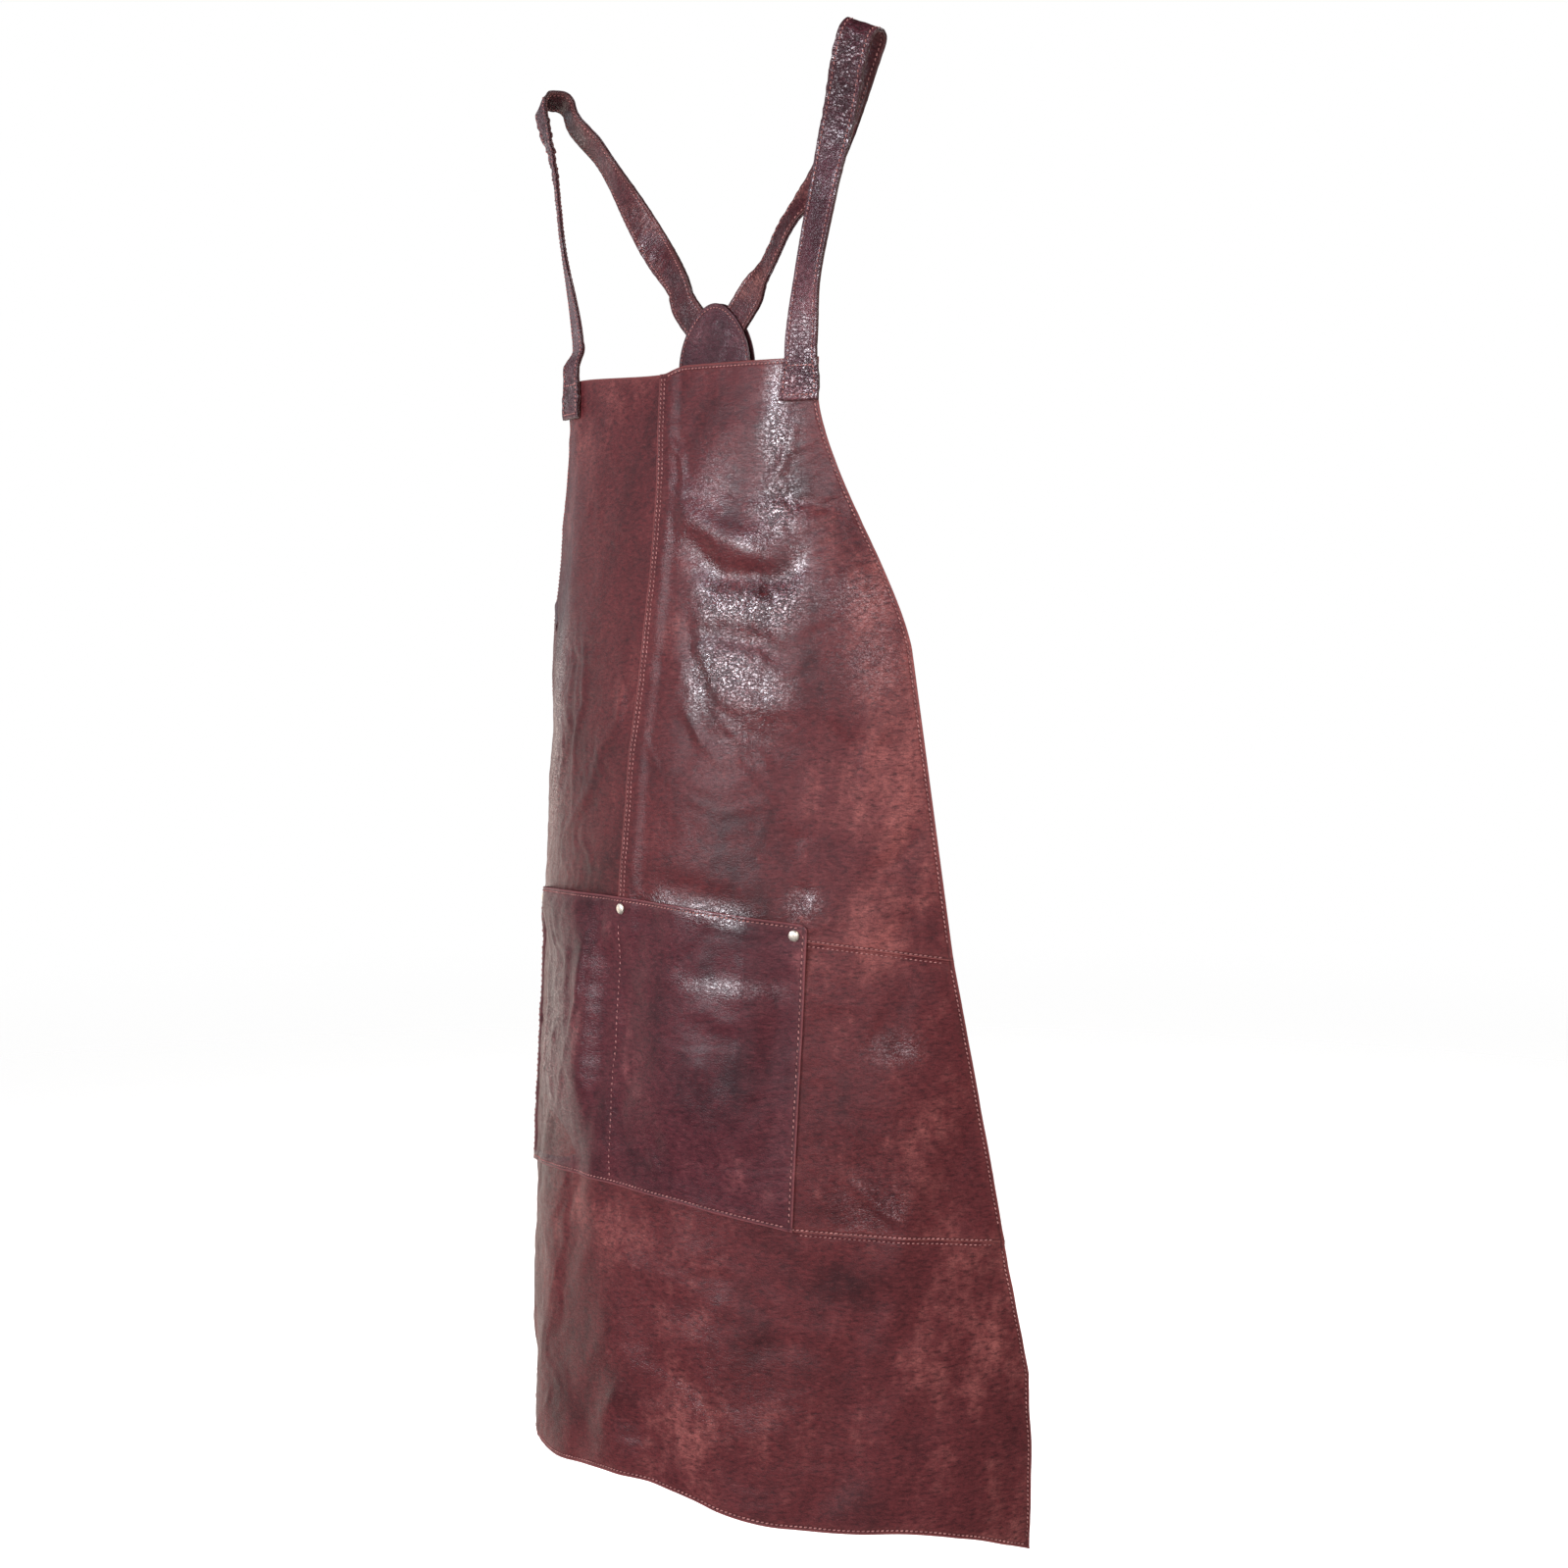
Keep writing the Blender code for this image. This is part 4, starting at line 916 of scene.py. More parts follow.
SEAM_STEPS = EDGE_STEPS + tuple(ROW_LAP + EDGE_TRIM + s for s in (
    -0.004, 0.0, 0.0008, 0.0016, 0.0022, 0.0028, 0.0034, 0.0042, 0.0050, 0.0056, 0.0062, 0.0070, 0.0085))

PANELS = (
    Panel("bib_right", right_side, lambda v: centre_seam(v) + CENTRE_LAP, right_top, bib_bottom,
          lambda u, v: 2 * LAYER + 0 * u, (("left", EDGE_ROW), ("bottom", SEAM_ROW_ABOVE))),
    Panel("bib_left", centre_seam, half_width, left_top, bib_bottom, bib_left_level,
          (("left", EDGE_ROW), ("left", CENTRE_ROW), ("right", EDGE_ROW), ("top", EDGE_ROW),
           ("bottom", SEAM_ROW_ABOVE))),
    Panel("waist", right_side, half_width, lambda u: row(UPPER_SEAM, u) - ROW_LAP, waist_bottom,
          lambda u, v: LAYER + 0 * u, (("left", EDGE_ROW), ("right", EDGE_ROW), ("bottom", SEAM_ROW_ABOVE)),
          felled_top(bib_bottom), SEAM_STEPS),
    Panel("skirt", right_side, half_width, lambda u: row(LOWER_SEAM, u) - ROW_LAP, hem,
          lambda u, v: 0 * u, (("left", EDGE_ROW), ("right", EDGE_ROW), ("bottom", EDGE_ROW)),
          beside_pocket, SEAM_STEPS),
    Panel("pocket", lambda v: -POCKET_HALF + 0 * v, lambda v: POCKET_HALF + 0 * v, pocket_edge,
          lambda u: row(POCKET_BOTTOM, u), pocket_level,
          (("left", EDGE_ROW), ("right", EDGE_ROW), ("top", EDGE_ROW), ("bottom", EDGE_ROW)), pocket_relief,
          pitch=POCKET_PITCH, finish="pocket"),
)


def build_panels():
    """The five panels; gives each one's object, flat size and area by name."""
    stands_for = {"bib_right": "bib_panel_right", "bib_left": "bib_panel_left", "waist": "waist_panel",
                  "skirt": "skirt_panel", "pocket": "pocket_leaf"}
    made = {}
    for panel in PANELS:
        obj = panel.build()
        fit(obj, "apron", stands_for[panel.name])
        made[panel.name] = (obj, panel.flat, panel.area)
    return made


def pocket_surface(u, v):
    return pocket_level(u, v) + pocket_relief(u, v)


def side_rows(span, count, level):
    """The stitch rows down both sides, as (u, v, level in front, level behind)."""
    v = np.linspace(*span, count)
    u = half_width(v) - EDGE_ROW
    return [(u, v, level, level), (-u, v, level, level)]


def body_rows():
    """The sewn rows of the bib, waist row and skirt, as side_rows gives them."""
    two = 2 * LAYER
    v = np.linspace(0.006, row(UPPER_SEAM, 0.0), 240)
    bib = side_rows(BIB_SEWN, 260, two)
    bib += [(centre_seam(v) + inset, v, 3 * LAYER, two) for inset in (EDGE_ROW, CENTRE_ROW)]
    u = np.linspace(0.005, HALF_TOP - 0.004, 120)
    bib.append((u, left_top(u) + EDGE_ROW, bib_left_level, two))
    u = np.linspace(-UPPER_SEAM_REACH, UPPER_SEAM_REACH, 320)
    waist = [(u, bib_bottom(u) - SEAM_ROW_ABOVE, bib_left_level, LAYER),
             (u, bib_bottom(u) + SEAM_ROW_BELOW, LAYER, LAYER)] + side_rows(WAIST_SEWN, 260, LAYER)
    u = np.linspace(-LOWER_SEAM_REACH, LOWER_SEAM_REACH, 380)
    skirt = [(u, waist_bottom(u) - SEAM_ROW_ABOVE, LAYER, 0.0)]
    for part in (u[u < -POCKET_HALF - 0.003], u[u > POCKET_HALF + 0.003]):
        skirt.append((part, waist_bottom(part) + SEAM_ROW_BELOW, 0.0, 0.0))
    skirt += side_rows(SKIRT_SEWN, 200, 0.0)
    u = np.linspace(-HEM_REACH, HEM_REACH, 420)
    skirt.append((u, hem(u) - EDGE_ROW, 0.0, 0.0))
    return {"bib_left": ("bib_stitches", bib), "waist": ("waist_stitches", waist),
            "skirt": ("skirt_stitches", skirt)}


def pocket_stitches():
    """The pocket's mouth and lower edge, then its two sides and its divider."""
    edge = POCKET_HALF - EDGE_ROW
    u = np.linspace(-edge + 0.003, edge - 0.003, 200)
    lower = row(POCKET_BOTTOM, u) - EDGE_ROW
    across = [sewn(u, row(POCKET_TOP, u) + EDGE_ROW, pocket_surface), sewn(u, lower, pocket_surface),
              sewn(u, lower, LAYER, -1)]
    side = np.linspace(row(POCKET_TOP, edge) + 0.006, row(POCKET_BOTTOM, edge) - 0.005, 140)
    ends = np.full_like(side, edge)
    middle = np.linspace(POCKET_TOP[0] + 0.020, POCKET_BOTTOM[0] - 0.004, 120)
    lines = ((ends, side), (-ends, side), (0 * middle, middle))
    down = [sewn(*line, pocket_surface) for line in lines] + [sewn(*line, LAYER, -1) for line in lines]
    return [thread("pocket_stitches", across), thread("pocket_side_stitches", down, POCKET_SIDE_PITCH)]


def build_body_stitches():
    """Every sewn row of the body, front and back; gives the thread pieces by panel."""
    made = {}
    for panel, (name, rows) in body_rows().items():
        runs = [sewn(u, v, *face) for u, v, top, under in rows for face in ((top,), (under, -1))]
        made[panel] = [thread(name, runs)]
    made["pocket"] = pocket_stitches()
    for piece in sum(made.values(), []):
        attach(piece, "apron")
    return made


# ---- turned metal --------------------------------------------------------------------------
def turned(name, profile, origin, axis, finish, sides=40):
    """A solid of revolution from (radius, height) pairs; ends at radius 0 close to a point."""
    axis = Vector(axis)
    basis = np.array(axis.to_track_quat("Z", "X").to_matrix())
    turn = 2 * math.pi * np.arange(sides) / sides
    points, rings = [], []
    for r, h in profile:
        if r == 0:
            rings.append([len(points)])
            points.append(np.array((0, 0, h)))
            continue
        rings.append(list(range(len(points), len(points) + sides)))
        points.extend(np.array((r * math.cos(a), r * math.sin(a), h)) for a in turn)
    if profile[0] == profile[-1]:
        rings = rings[:-1] + rings[:1]
        points = points[:len(points) - sides]
    faces = []
    for one, two in zip(rings, rings[1:]):
        for i in range(sides):
            k = (i + 1) % sides
            loop = [one[i % len(one)], one[k % len(one)], two[k % len(two)], two[i % len(two)]]
            faces.append(list(dict.fromkeys(loop)))
    return add_mesh(name, np.array(points) @ basis.T + np.asarray(origin), faces, finish)


def build_rivets():
    """Domed caps with a soft rim, and the burrs behind."""
    for place, u in (("left", RIVET_U), ("centre", 0.002), ("right", -RIVET_U)):
        at_u, at_v = np.array([u]), np.array([row(POCKET_TOP, u) + RIVET_BELOW_TOP])
        front = placed_frame(at_u, at_v)[2][0]
        leaf = placed(at_u, at_v, pocket_level(at_u, at_v) + LEATHER / 2)[0]
        back = placed(at_u, at_v, np.array([LAYER - LEATHER / 2 - GAP]))[0]
        depth = float(np.dot(back - leaf, front)) - 0.0008
        dome = [(0, RIVET_CAP_H)]
        for i in range(1, 11):
            a = math.radians(8.2 * i)
            dome.append((RIVET_CAP_R * math.sin(a), 0.0007 + (RIVET_CAP_H - 0.0007) * math.cos(a)))
        dome += [(RIVET_CAP_R, 0.0006), (RIVET_CAP_R, 0.0002), (RIVET_CAP_R - 0.0003, -0.0001),
                 (RIVET_POST_R, -0.0001), (RIVET_POST_R, depth), (RIVET_POST_R - 0.0004, depth - 0.0003),
                 (0, depth - 0.0003)]
        cap = turned(f"rivet_{place}", dome, leaf, front, FINISH["nickel"])
        low = RIVET_POST_R + 0.0003
        washer = [(low, 0), (RIVET_BACK_R, 0), (RIVET_BACK_R, -0.0007), (RIVET_BACK_R - 0.0003, -0.0010),
                  (RIVET_BACK_R - 0.0008, -RIVET_BACK_H), (low + 0.0004, -RIVET_BACK_H),
                  (low, -0.0009), (low, 0)]
        burr = turned(f"burr_{place}", washer, back, front, FINISH["nickel"])
        fit(cap, "apron", f"rivet_cap_{place}")
        fit(burr, "apron", f"rivet_burr_{place}")


# ---- strap runs ----------------------------------------------------------------------------
def hermite(points, first, last, steps):
    """A smooth curve through points: each of its points, with how many spans along it lies."""
    tangents = [unit(first)] + [unit(b - a) for a, b in zip(points, points[2:])] + [unit(last)]
    out = []
    for i in range(len(points) - 1):
        p, q = points[i], points[i + 1]
        span = np.linalg.norm(q - p)
        for k in range(steps if i < len(points) - 2 else steps + 1):
            t = k / steps
            ease = t * t * (3 - 2 * t)
            leaving = t * (1 - t) ** 2 * span * tangents[i]
            arriving = t * t * (t - 1) * span * tangents[i + 1]
            out.append(((1 - ease) * p + ease * q + leaving + arriving, i + t))
    return out


def run(pairs, first, last, steps):
    """Frames (centre, across) along a strap run."""
    points = [np.array(p, float) for p, _ in pairs]
    wide = [unit(np.array(a, float)) for _, a in pairs]
    frames = []
    for point, place in hermite(points, np.array(first, float), np.array(last, float), steps):
        i = min(int(place), len(pairs) - 2)
        t = float(smooth(place - i))
        frames.append((point, wide[i] * (1 - t) + wide[i + 1] * t))
    return frames


class Ribbon:
    """A strap's centre line, evenly spaced, with its across and outward directions."""

    def __init__(self, frames, pitch=STRAP_PITCH):
        centre = np.array([f[0] for f in frames])
        across = np.array([f[1] for f in frames])
        length = np.concatenate([[0], np.cumsum(np.linalg.norm(np.diff(centre, axis=0), axis=1))])
        keep = np.concatenate([[True], np.diff(length) > 1e-6])
        length, centre, across = length[keep], centre[keep], across[keep]
        count = max(8, round(length[-1] / pitch))
        self.s = np.linspace(0, length[-1], count + 1)
        self.centre = sampled(self.s, length, centre)
        across = sampled(self.s, length, across)
        along = unit(np.gradient(self.centre, axis=0))
        across = across - along * np.sum(across * along, 1, keepdims=True)
        self.across = unit(across)
        self.out = unit(np.cross(self.across, along))
        self.length = float(length[-1])

    def mirrored(self):
        """The same run on the wearer's other side; across is reversed to keep its handedness."""
        other = object.__new__(Ribbon)
        flip = np.array((-1.0, 1.0, 1.0))
        other.s, other.length = self.s, self.length
        other.centre, other.across, other.out = self.centre * flip, -self.across * flip, self.out * flip
        return other

    def point(self, w, h):
        """Points at w across and h out, both arrays with one row for each station."""
        return self.centre[:, None] + self.across[:, None] * w[..., None] + self.out[:, None] * h[..., None]


def strap_layer(name, ribbon, low, high, finish, crinkle, seed, width=STRAP_WIDTH, flare=None, rows=True,
                rows_from=0.0):
    """One leather layer of a strap, and its sewn lines. crinkle(s) is its height of crinkling
    along the run."""
    share, offset = stations(max(4, round(width / COLUMN_PITCH)))
    half = width / 2 + (np.zeros_like(ribbon.s) if flare is None else flare(ribbon.s) / 2)
    w = -half[:, None] + share * 2 * half[:, None] + offset
    edge = np.minimum(half[:, None] - abs(w), 1.0)
    ends = np.minimum(ribbon.s, ribbon.length - ribbon.s)[:, None]
    edge = np.minimum(edge, ends + 0 * w)
    s = ribbon.s[:, None] + 0 * w
    amount = crinkle(ribbon.s)[:, None]
    fine = 0.5 - np.abs(waves(s, w, seed, 10, 0.009, 0.024, lean=0.0, spread=0.5))
    bumpy = amount * (fine + 0.5 * waves(s, w, seed + 1, 10, 0.006, 0.014, lean=0.2, spread=0.9))
    groove = bell((half[:, None] - abs(w) - STRAP_ROW) / GROOVE_HALF) if rows else 0 * w
    mid = (low + high) / 2 + bumpy
    outer = 1.0 if high + low > 0 else -1.0
    thick = edge_half(edge)
    top = mid + thick - GROOVE_DEPTH * groove * (outer > 0)
    under = mid - thick + GROOVE_DEPTH * groove * (outer < 0)
    uv = np.stack([w + 0.31 * seed, s], -1)
    fields = {"edge": edge, "groove": groove, "crumple": np.clip(amount / 0.0007, 0, 1) + 0 * w,
              "tone_and_shade": 0.5 * waves(s, w, seed + 2, 6, 0.03, 0.15),
              "polish": 0.35 + 0.65 * smooth(waves(s, w, seed + 3, 6, 0.02, 0.07) + 0.2)}
    obj = shell(name, ribbon.point(w, top), ribbon.point(w, under), FINISH[finish], uv, fields)
    surface = mid + outer * ((high - low) / 2 - GROOVE_DEPTH * 0.6)
    sewing = []
    if rows:
        for sign in (-1, 1):
            at = sign * (half - STRAP_ROW)
            column = np.argmin(np.abs(w - at[:, None]), axis=1)
            h = surface[np.arange(len(at)), column]
            line = ribbon.point(at[:, None], h[:, None])[:, 0]
            kept = ribbon.s > rows_from
            sewing.append((line[kept], ribbon.out[kept] * outer))
    return obj, sewing


def from_bib(point):
    return np.array((point[0], point[1] - BIB_FORWARD, point[2] - STRAP_RISE))


def crown_frames():
    across = unit(CROWN_ACROSS)
    level = unit(np.array((-across[1], across[0], 0.0)))
    up = unit(np.cross(across, level))
    radius = CROWN_RADIUS + STRAP_SANDWICH / 2
    centre = CROWN - up * CROWN_RADIUS
    frames = []
    for i in range(17):
        a = math.pi * i / 16
        flat = level * (-CROWN_FLAT / 2 if i <= 8 else CROWN_FLAT / 2)
        frames.append((centre + flat + (up * math.sin(a) - level * math.cos(a)) * radius, across))
        if i == 8:
            frames.append((centre - flat + up * radius, across))
    return frames, up


def shoulder_ribbon(side):
    crown, up = crown_frames()
    stand_off = 2 * LAYER + LEATHER / 2 + GAP + 0.0004 + STRAP_SANDWICH / 2
    tab = []
    flip = np.array((side, 1.0, 1.0))
    for height in (TAB_LENGTH, TAB_LENGTH * 0.66, TAB_LENGTH * 0.33, 0.0, -0.012):
        u, v = np.array([side * TAB_U]), np.array([height])
        tab.append((placed(u, v, np.array([stand_off]))[0] * flip, sheet_frame(u * side, v)[0][0]))
    front = tab + [(from_bib(p), w) for p, w in FRONT_RUNS[side]] + [crown[0]]
    back = [crown[-1]] + [(from_bib(p), w) for p, w in BACK_RUNS[side]]
    rising = run(front, (0, 0, 1), up, 14)
    falling = run(back, -up, back[-1][0] - back[-2][0], 18)
    ribbon = Ribbon(rising[:-1] + crown + falling[1:])
    return ribbon if side > 0 else ribbon.mirrored()


def tab_flare(s):
    """How much wider than the strap its sewn end is."""
    return TAB_FLARE * smooth((TAB_LENGTH + 0.004 - s) / 0.022)


def shoulder_crinkle(s):
    """Height of the crinkles along a shoulder strap: at its sewn end, its crown and its back."""
    return (0.00042 * bell((s - 0.016) / 0.020) + 0.00075 * bell((s - 0.240) / 0.045)
            + 0.00012 + 0.00026 * bell((s - 0.46) / 0.07))


def cross_row(ribbon, s_at, reach, height, facing, count):
    """A sewn line across a strap."""
    i = int(np.argmin(abs(ribbon.s - s_at)))
    w = np.linspace(-reach(ribbon.s[i]), reach(ribbon.s[i]), count)
    line = ribbon.centre[i] + ribbon.across[i] * w[:, None] + ribbon.out[i] * height
    return line, np.tile(ribbon.out[i] * facing, (count, 1))


def double_strap(name, node, ribbon, levels, crinkle, seed, rows_from, flare=None, cutters=()):
    """The lining and the outer layer of a double strap, with their sewn lines."""
    layers, sewing = [], []
    looks = {"lining": ("lining", "lining_leather"), "outer": ("strap", "strap_leather")}
    for layer, (finish, material) in looks.items():
        low, high = levels[layer]
        obj, lines = strap_layer(f"{name}_{layer}", ribbon, low, high, finish, crinkle, seed,
                                 flare=flare, rows_from=rows_from[layer])
        if cutters:
            cut_with(obj, cutters)
        fit(obj, "apron", f"{node}_{layer}")
        sewing += lines
        layers.append(obj)
    return layers, sewing


def build_shoulder_straps():
    surface = STRAP_SANDWICH / 2
    levels = {"lining": (-surface, -surface + LEATHER), "outer": (surface - LEATHER, surface)}

    def reach(s):
        return (STRAP_WIDTH + float(tab_flare(s))) / 2 - STRAP_ROW - 0.0002

    for label, side, seed in (("left", 1, 61), ("right", -1, 71)):
        ribbon = shoulder_ribbon(side)
        layers, sewing = double_strap(f"strap_{label}", f"shoulder_strap_{label}", ribbon, levels,
                                      shoulder_crinkle, seed, {"lining": TAB_LENGTH, "outer": 0.003},
                                      tab_flare)
        for s_at in (STRAP_ROW, TAB_LENGTH - 0.004):
            sewing.append(cross_row(ribbon, s_at, reach, surface + 0.0001, 1, 24))
        stitches = thread(f"strap_{label}_stitches", sewing)
        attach(stitches, "apron")


# ---- back patch ----------------------------------------------------------------------------
def build_patch():
    """Two egg-shaped leaves, slightly dished, with a stitched border."""
    segments, rings = 96, 26
    angle = 2 * math.pi * np.arange(segments) / segments
    reach = np.where(np.sin(angle) > 0, PATCH_UP, PATCH_DOWN)
    taper = 1 - 0.16 * np.maximum(np.sin(angle), 0) ** 2
    outline = np.stack([PATCH_HALF_WIDTH * taper * np.cos(angle), reach * np.sin(angle)], -1)
    size = float(np.mean(np.hypot(outline[:, 0], outline[:, 1])))
    inset = np.concatenate([np.array(EDGE_STEPS), np.linspace(EDGE_STEPS[-1], size * 0.97, rings - 10)[1:]])
    share = 1 - inset / size
    x = outline[None, :, 0] * share[:, None]
    z = outline[None, :, 1] * share[:, None]
    edge = np.tile(inset[:, None], (1, segments))
    groove = bell((edge - STRAP_ROW) / GROOVE_HALF)
    inside = STRAP_SANDWICH / 2 + GAP
    patches = []
    for name, facing in (("patch_outer", 1), ("patch_inner", -1)):
        swell = 0.0009 * np.clip(1 - (np.hypot(x, z) / size) ** 2, 0, 1)
        swell = swell + 0.0004 * waves(x, z, 81 + facing, 8, 0.015, 0.05)
        mid = inside + LEATHER / 2 + swell * smooth(edge / 0.01)
        half = edge_half(edge)
        out = mid + half - GROOVE_DEPTH * groove
        under = mid - half
        grids = []
        for level in (out, under):
            y = PATCH_PLANE - BIB_FORWARD + facing * level
            grids.append(np.stack([x, y, z + PATCH_CENTRE_Z - STRAP_RISE], -1))
        count = len(inset)
        points = np.concatenate([g.reshape(-1, 3) for g in grids] + [g[-1].mean(0)[None] for g in grids])
        faces = grid_faces(count, segments, around=True)
        size_one = count * segments
        every = faces.tolist() + (faces[:, ::-1] + size_one).tolist()
        for k in range(segments):
            n = (k + 1) % segments
            last = (count - 1) * segments
            every.append([last + k, last + n, 2 * size_one])
            every.append([size_one + last + n, size_one + last + k, 2 * size_one + 1])
            every.append([n, k, size_one + k, size_one + n])
        uv = np.stack([x, z], -1).reshape(-1, 2)
        uv = np.concatenate([uv + (2.2 + facing, 0), uv + (2.9, 1.1), np.zeros((2, 2))])
        fields = {}
        tone_and_shade = 0.35 * waves(x, z, 85, 6, 0.03, 0.1) - 0.25
        for key, field in (("edge", edge), ("groove", groove), ("crumple", 0.25 + 0 * edge),
                           ("tone_and_shade", tone_and_shade), ("polish", 0.3 + 0 * edge)):
            flat = field.ravel()
            fields[key] = np.concatenate([flat, flat, field[-1, :1], field[-1, :1]])
        obj = add_mesh(name, points, every, FINISH["strap"], uv, fields)
        fit(obj, "apron", f"back_{name}")
        row_at = int(np.argmin(abs(inset - STRAP_ROW)))
        border = np.concatenate([grids[0][row_at], grids[0][row_at][:1]])
        normals = np.tile((0.0, float(facing), 0.0), (segments + 1, 1))
        patches.append((obj, border, normals))
    stitches = thread("patch_stitches", [(b, n) for _, b, n in patches])
    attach(stitches, "apron")


# ---- lower straps, tabs and buckles --------------------------------------------------------
class StrapLine:
    """The straight stretch from the waist tab's anchor to the back patch: s runs along it,
    n points to the back of the apron and w runs across the strap."""

    def __init__(self):
        u, v = np.array([ANCHOR_U]), np.array([ANCHOR_V])
        across, down, front = (d[0] for d in sheet_frame(u, v))
        self.anchor = sheet_base(u, v)[0] + front * (LAYER - 0.0003)
        turn = from_bib(LOWER_TURN)
        self.along = unit(turn - self.anchor)
        wide = across - down
        self.across = unit(wide - self.along * np.dot(wide, self.along))
        self.out = np.cross(self.along, self.across)

    def at(self, s, n=0.0, w=0.0):
        return self.anchor + self.along * s + self.out * n + self.across * w


def lower_ribbon(line):
    """The lower strap's run: from the patch, under the roller and over the tab to its tip."""
    under = -(ROLLER_R + 0.0004 + STRAP_SANDWICH / 2)
    over = WIRE_R + 2 * GAP + LEATHER + GAP + STRAP_SANDWICH / 2
    resting = STRAP_SANDWICH + GAP + 0.0003
    roller_at = BAR_AT + BUCKLE_LENGTH
    profile = ((0.045, 0), (0.022, -0.0012), (0.008, under - 0.0002), (0, under), (-0.007, 0.82 * under),
               (-0.015, 0.0), (-0.0225, 0.80 * over), (-0.028, over + 0.0003), (-0.032, over + 0.0001),
               (-0.040, resting + 0.0006), (-0.047, resting))
    pairs = [(from_bib(p), PATCH_END_ACROSS) for p in (LOWER_START, LOWER_EXIT, LOWER_TURN)]
    pairs += [(line.at(roller_at + ds, n), line.across) for ds, n in profile]
    pairs.append((line.at(TIP_AT, resting), line.across))
    return Ribbon(run(pairs, from_bib(LOWER_TURN) - from_bib(LOWER_START), -line.along, 14), 0.0016)


def tab_ribbon(line, side):
    """The waist tab's run: from its sewn end round the buckle's bar and back on itself."""
    pairs = []
    for step in (1.0, 0.5, 0.0):
        u = np.array([side * (ANCHOR_U + TAB_STITCHED * step)])
        v = np.array([ANCHOR_V + TAB_STITCHED * step])
        across, down, _ = sheet_frame(u * side, v)
        shift = relief(u, v) * (1.0 if step else 0.0)
        base = sheet_base(u * side, v) + sheet_frame(u * side, v)[2] * (LAYER - 0.0004 + shift)[..., None]
        pairs.append((base[0], unit(across - down)[0]))
    pinch = LEATHER / 2 + GAP / 2
    radius = WIRE_R + GAP + LEATHER / 2
    for s in (0.012, 0.026, 0.040):
        pairs.append((line.at(s, -pinch), line.across))
    pairs.append((line.at(BAR_AT - 0.008, -0.7 * radius), line.across))
    for i in range(13):
        a = math.pi * (i / 12 - 0.5)
        pairs.append((line.at(BAR_AT + radius * math.cos(a), radius * math.sin(a)), line.across))
    pairs.append((line.at(BAR_AT - 0.008, 0.7 * radius), line.across))
    for s in (0.040, 0.026, TAB_PLY_END):
        pairs.append((line.at(s, pinch), line.across))
    ribbon = Ribbon(run(pairs, pairs[1][0] - pairs[0][0], -line.along, 8), 0.0009)
    return ribbon if side > 0 else ribbon.mirrored()


def wire_loop(name, line, side, sides=20, arc=10):
    """The buckle's frame: round wire bent into a rectangle with rounded corners."""
    half_s, half_w = BUCKLE_LENGTH / 2, FRAME_HALF
    path = []
    for corner in range(4):
        cs = 1 if corner in (0, 3) else -1
        cw = 1 if corner in (0, 1) else -1
        for i in range(arc + 1):
            a = math.pi / 2 * (corner + i / arc)
            path.append((cs * (half_s - FRAME_CORNER) + FRAME_CORNER * math.cos(a),
                         cw * (half_w - FRAME_CORNER) + FRAME_CORNER * math.sin(a)))
    points = []
    for k, (s, w) in enumerate(path):
        ps, pw = path[k - 1]
        ns, nw = path[(k + 1) % len(path)]
        ts, tw = unit(np.array((ns - ps, nw - pw)))
        for i in range(sides):
            a = 2 * math.pi * i / sides
            r, n = WIRE_R * math.cos(a), WIRE_R * math.sin(a)
            points.append(line.at(BAR_AT + half_s + s + tw * r, n, w - ts * r))
    points = np.array(points) * (side, 1, 1)
    faces = grid_faces(len(path), sides, around=True)
    last = (len(path) - 1) * sides
    closing = [[last + i, last + (i + 1) % sides, (i + 1) % sides, i] for i in range(sides)]
    return add_mesh(name, points, faces.tolist() + closing, FINISH["nickel"])


def extruded(name, near, far, finish):
    """A prism between two matching outlines, its long edges bevelled."""
    count = len(near)
    faces = [list(range(count)), list(range(2 * count - 1, count - 1, -1))]
    faces += [[i, (i + 1) % count, count + (i + 1) % count, count + i] for i in range(count)]
    obj = add_mesh(name, np.concatenate([near, far]), faces, finish)
    bevel = obj.modifiers.new("rounded", "BEVEL")
    bevel.width = 0.00035
    bevel.segments = 3
    bevel.limit_method = "ANGLE"
    bevel.angle_limit = math.radians(50)
    return obj


def prong(name, line, side):
    """A flat disc on the buckle's bar, without a bore, and a tongue that rests on the roller."""
    rest = ROLLER_R + GAP
    start = math.radians(40)
    outer = []
    for i in range(33):
        a = start + (2 * math.pi - start * 1.1) * i / 32
        outer.append((PRONG_RING_R * math.cos(a), PRONG_RING_R * math.sin(a)))
    tip = BUCKLE_LENGTH + 0.0035
    tongue = [(0.005, rest * 0.25), (0.012, rest * 0.62), (0.021, rest * 0.9), (BUCKLE_LENGTH, rest),
              (tip, rest * 0.97), (tip + 0.0003, rest + PRONG_THICK * 0.35), (tip, rest + PRONG_THICK * 0.7),
              (BUCKLE_LENGTH, rest + PRONG_THICK), (0.021, rest * 0.9 + PRONG_THICK),
              (0.012, rest * 0.62 + PRONG_THICK)]
    outline = outer + tongue
    half = PRONG_WIDTH / 2
    near = np.array([line.at(BAR_AT + s, n, -half) for s, n in outline]) * (side, 1, 1)
    far = np.array([line.at(BAR_AT + s, n, half) for s, n in outline]) * (side, 1, 1)
    return extruded(name, near, far, FINISH["nickel"])


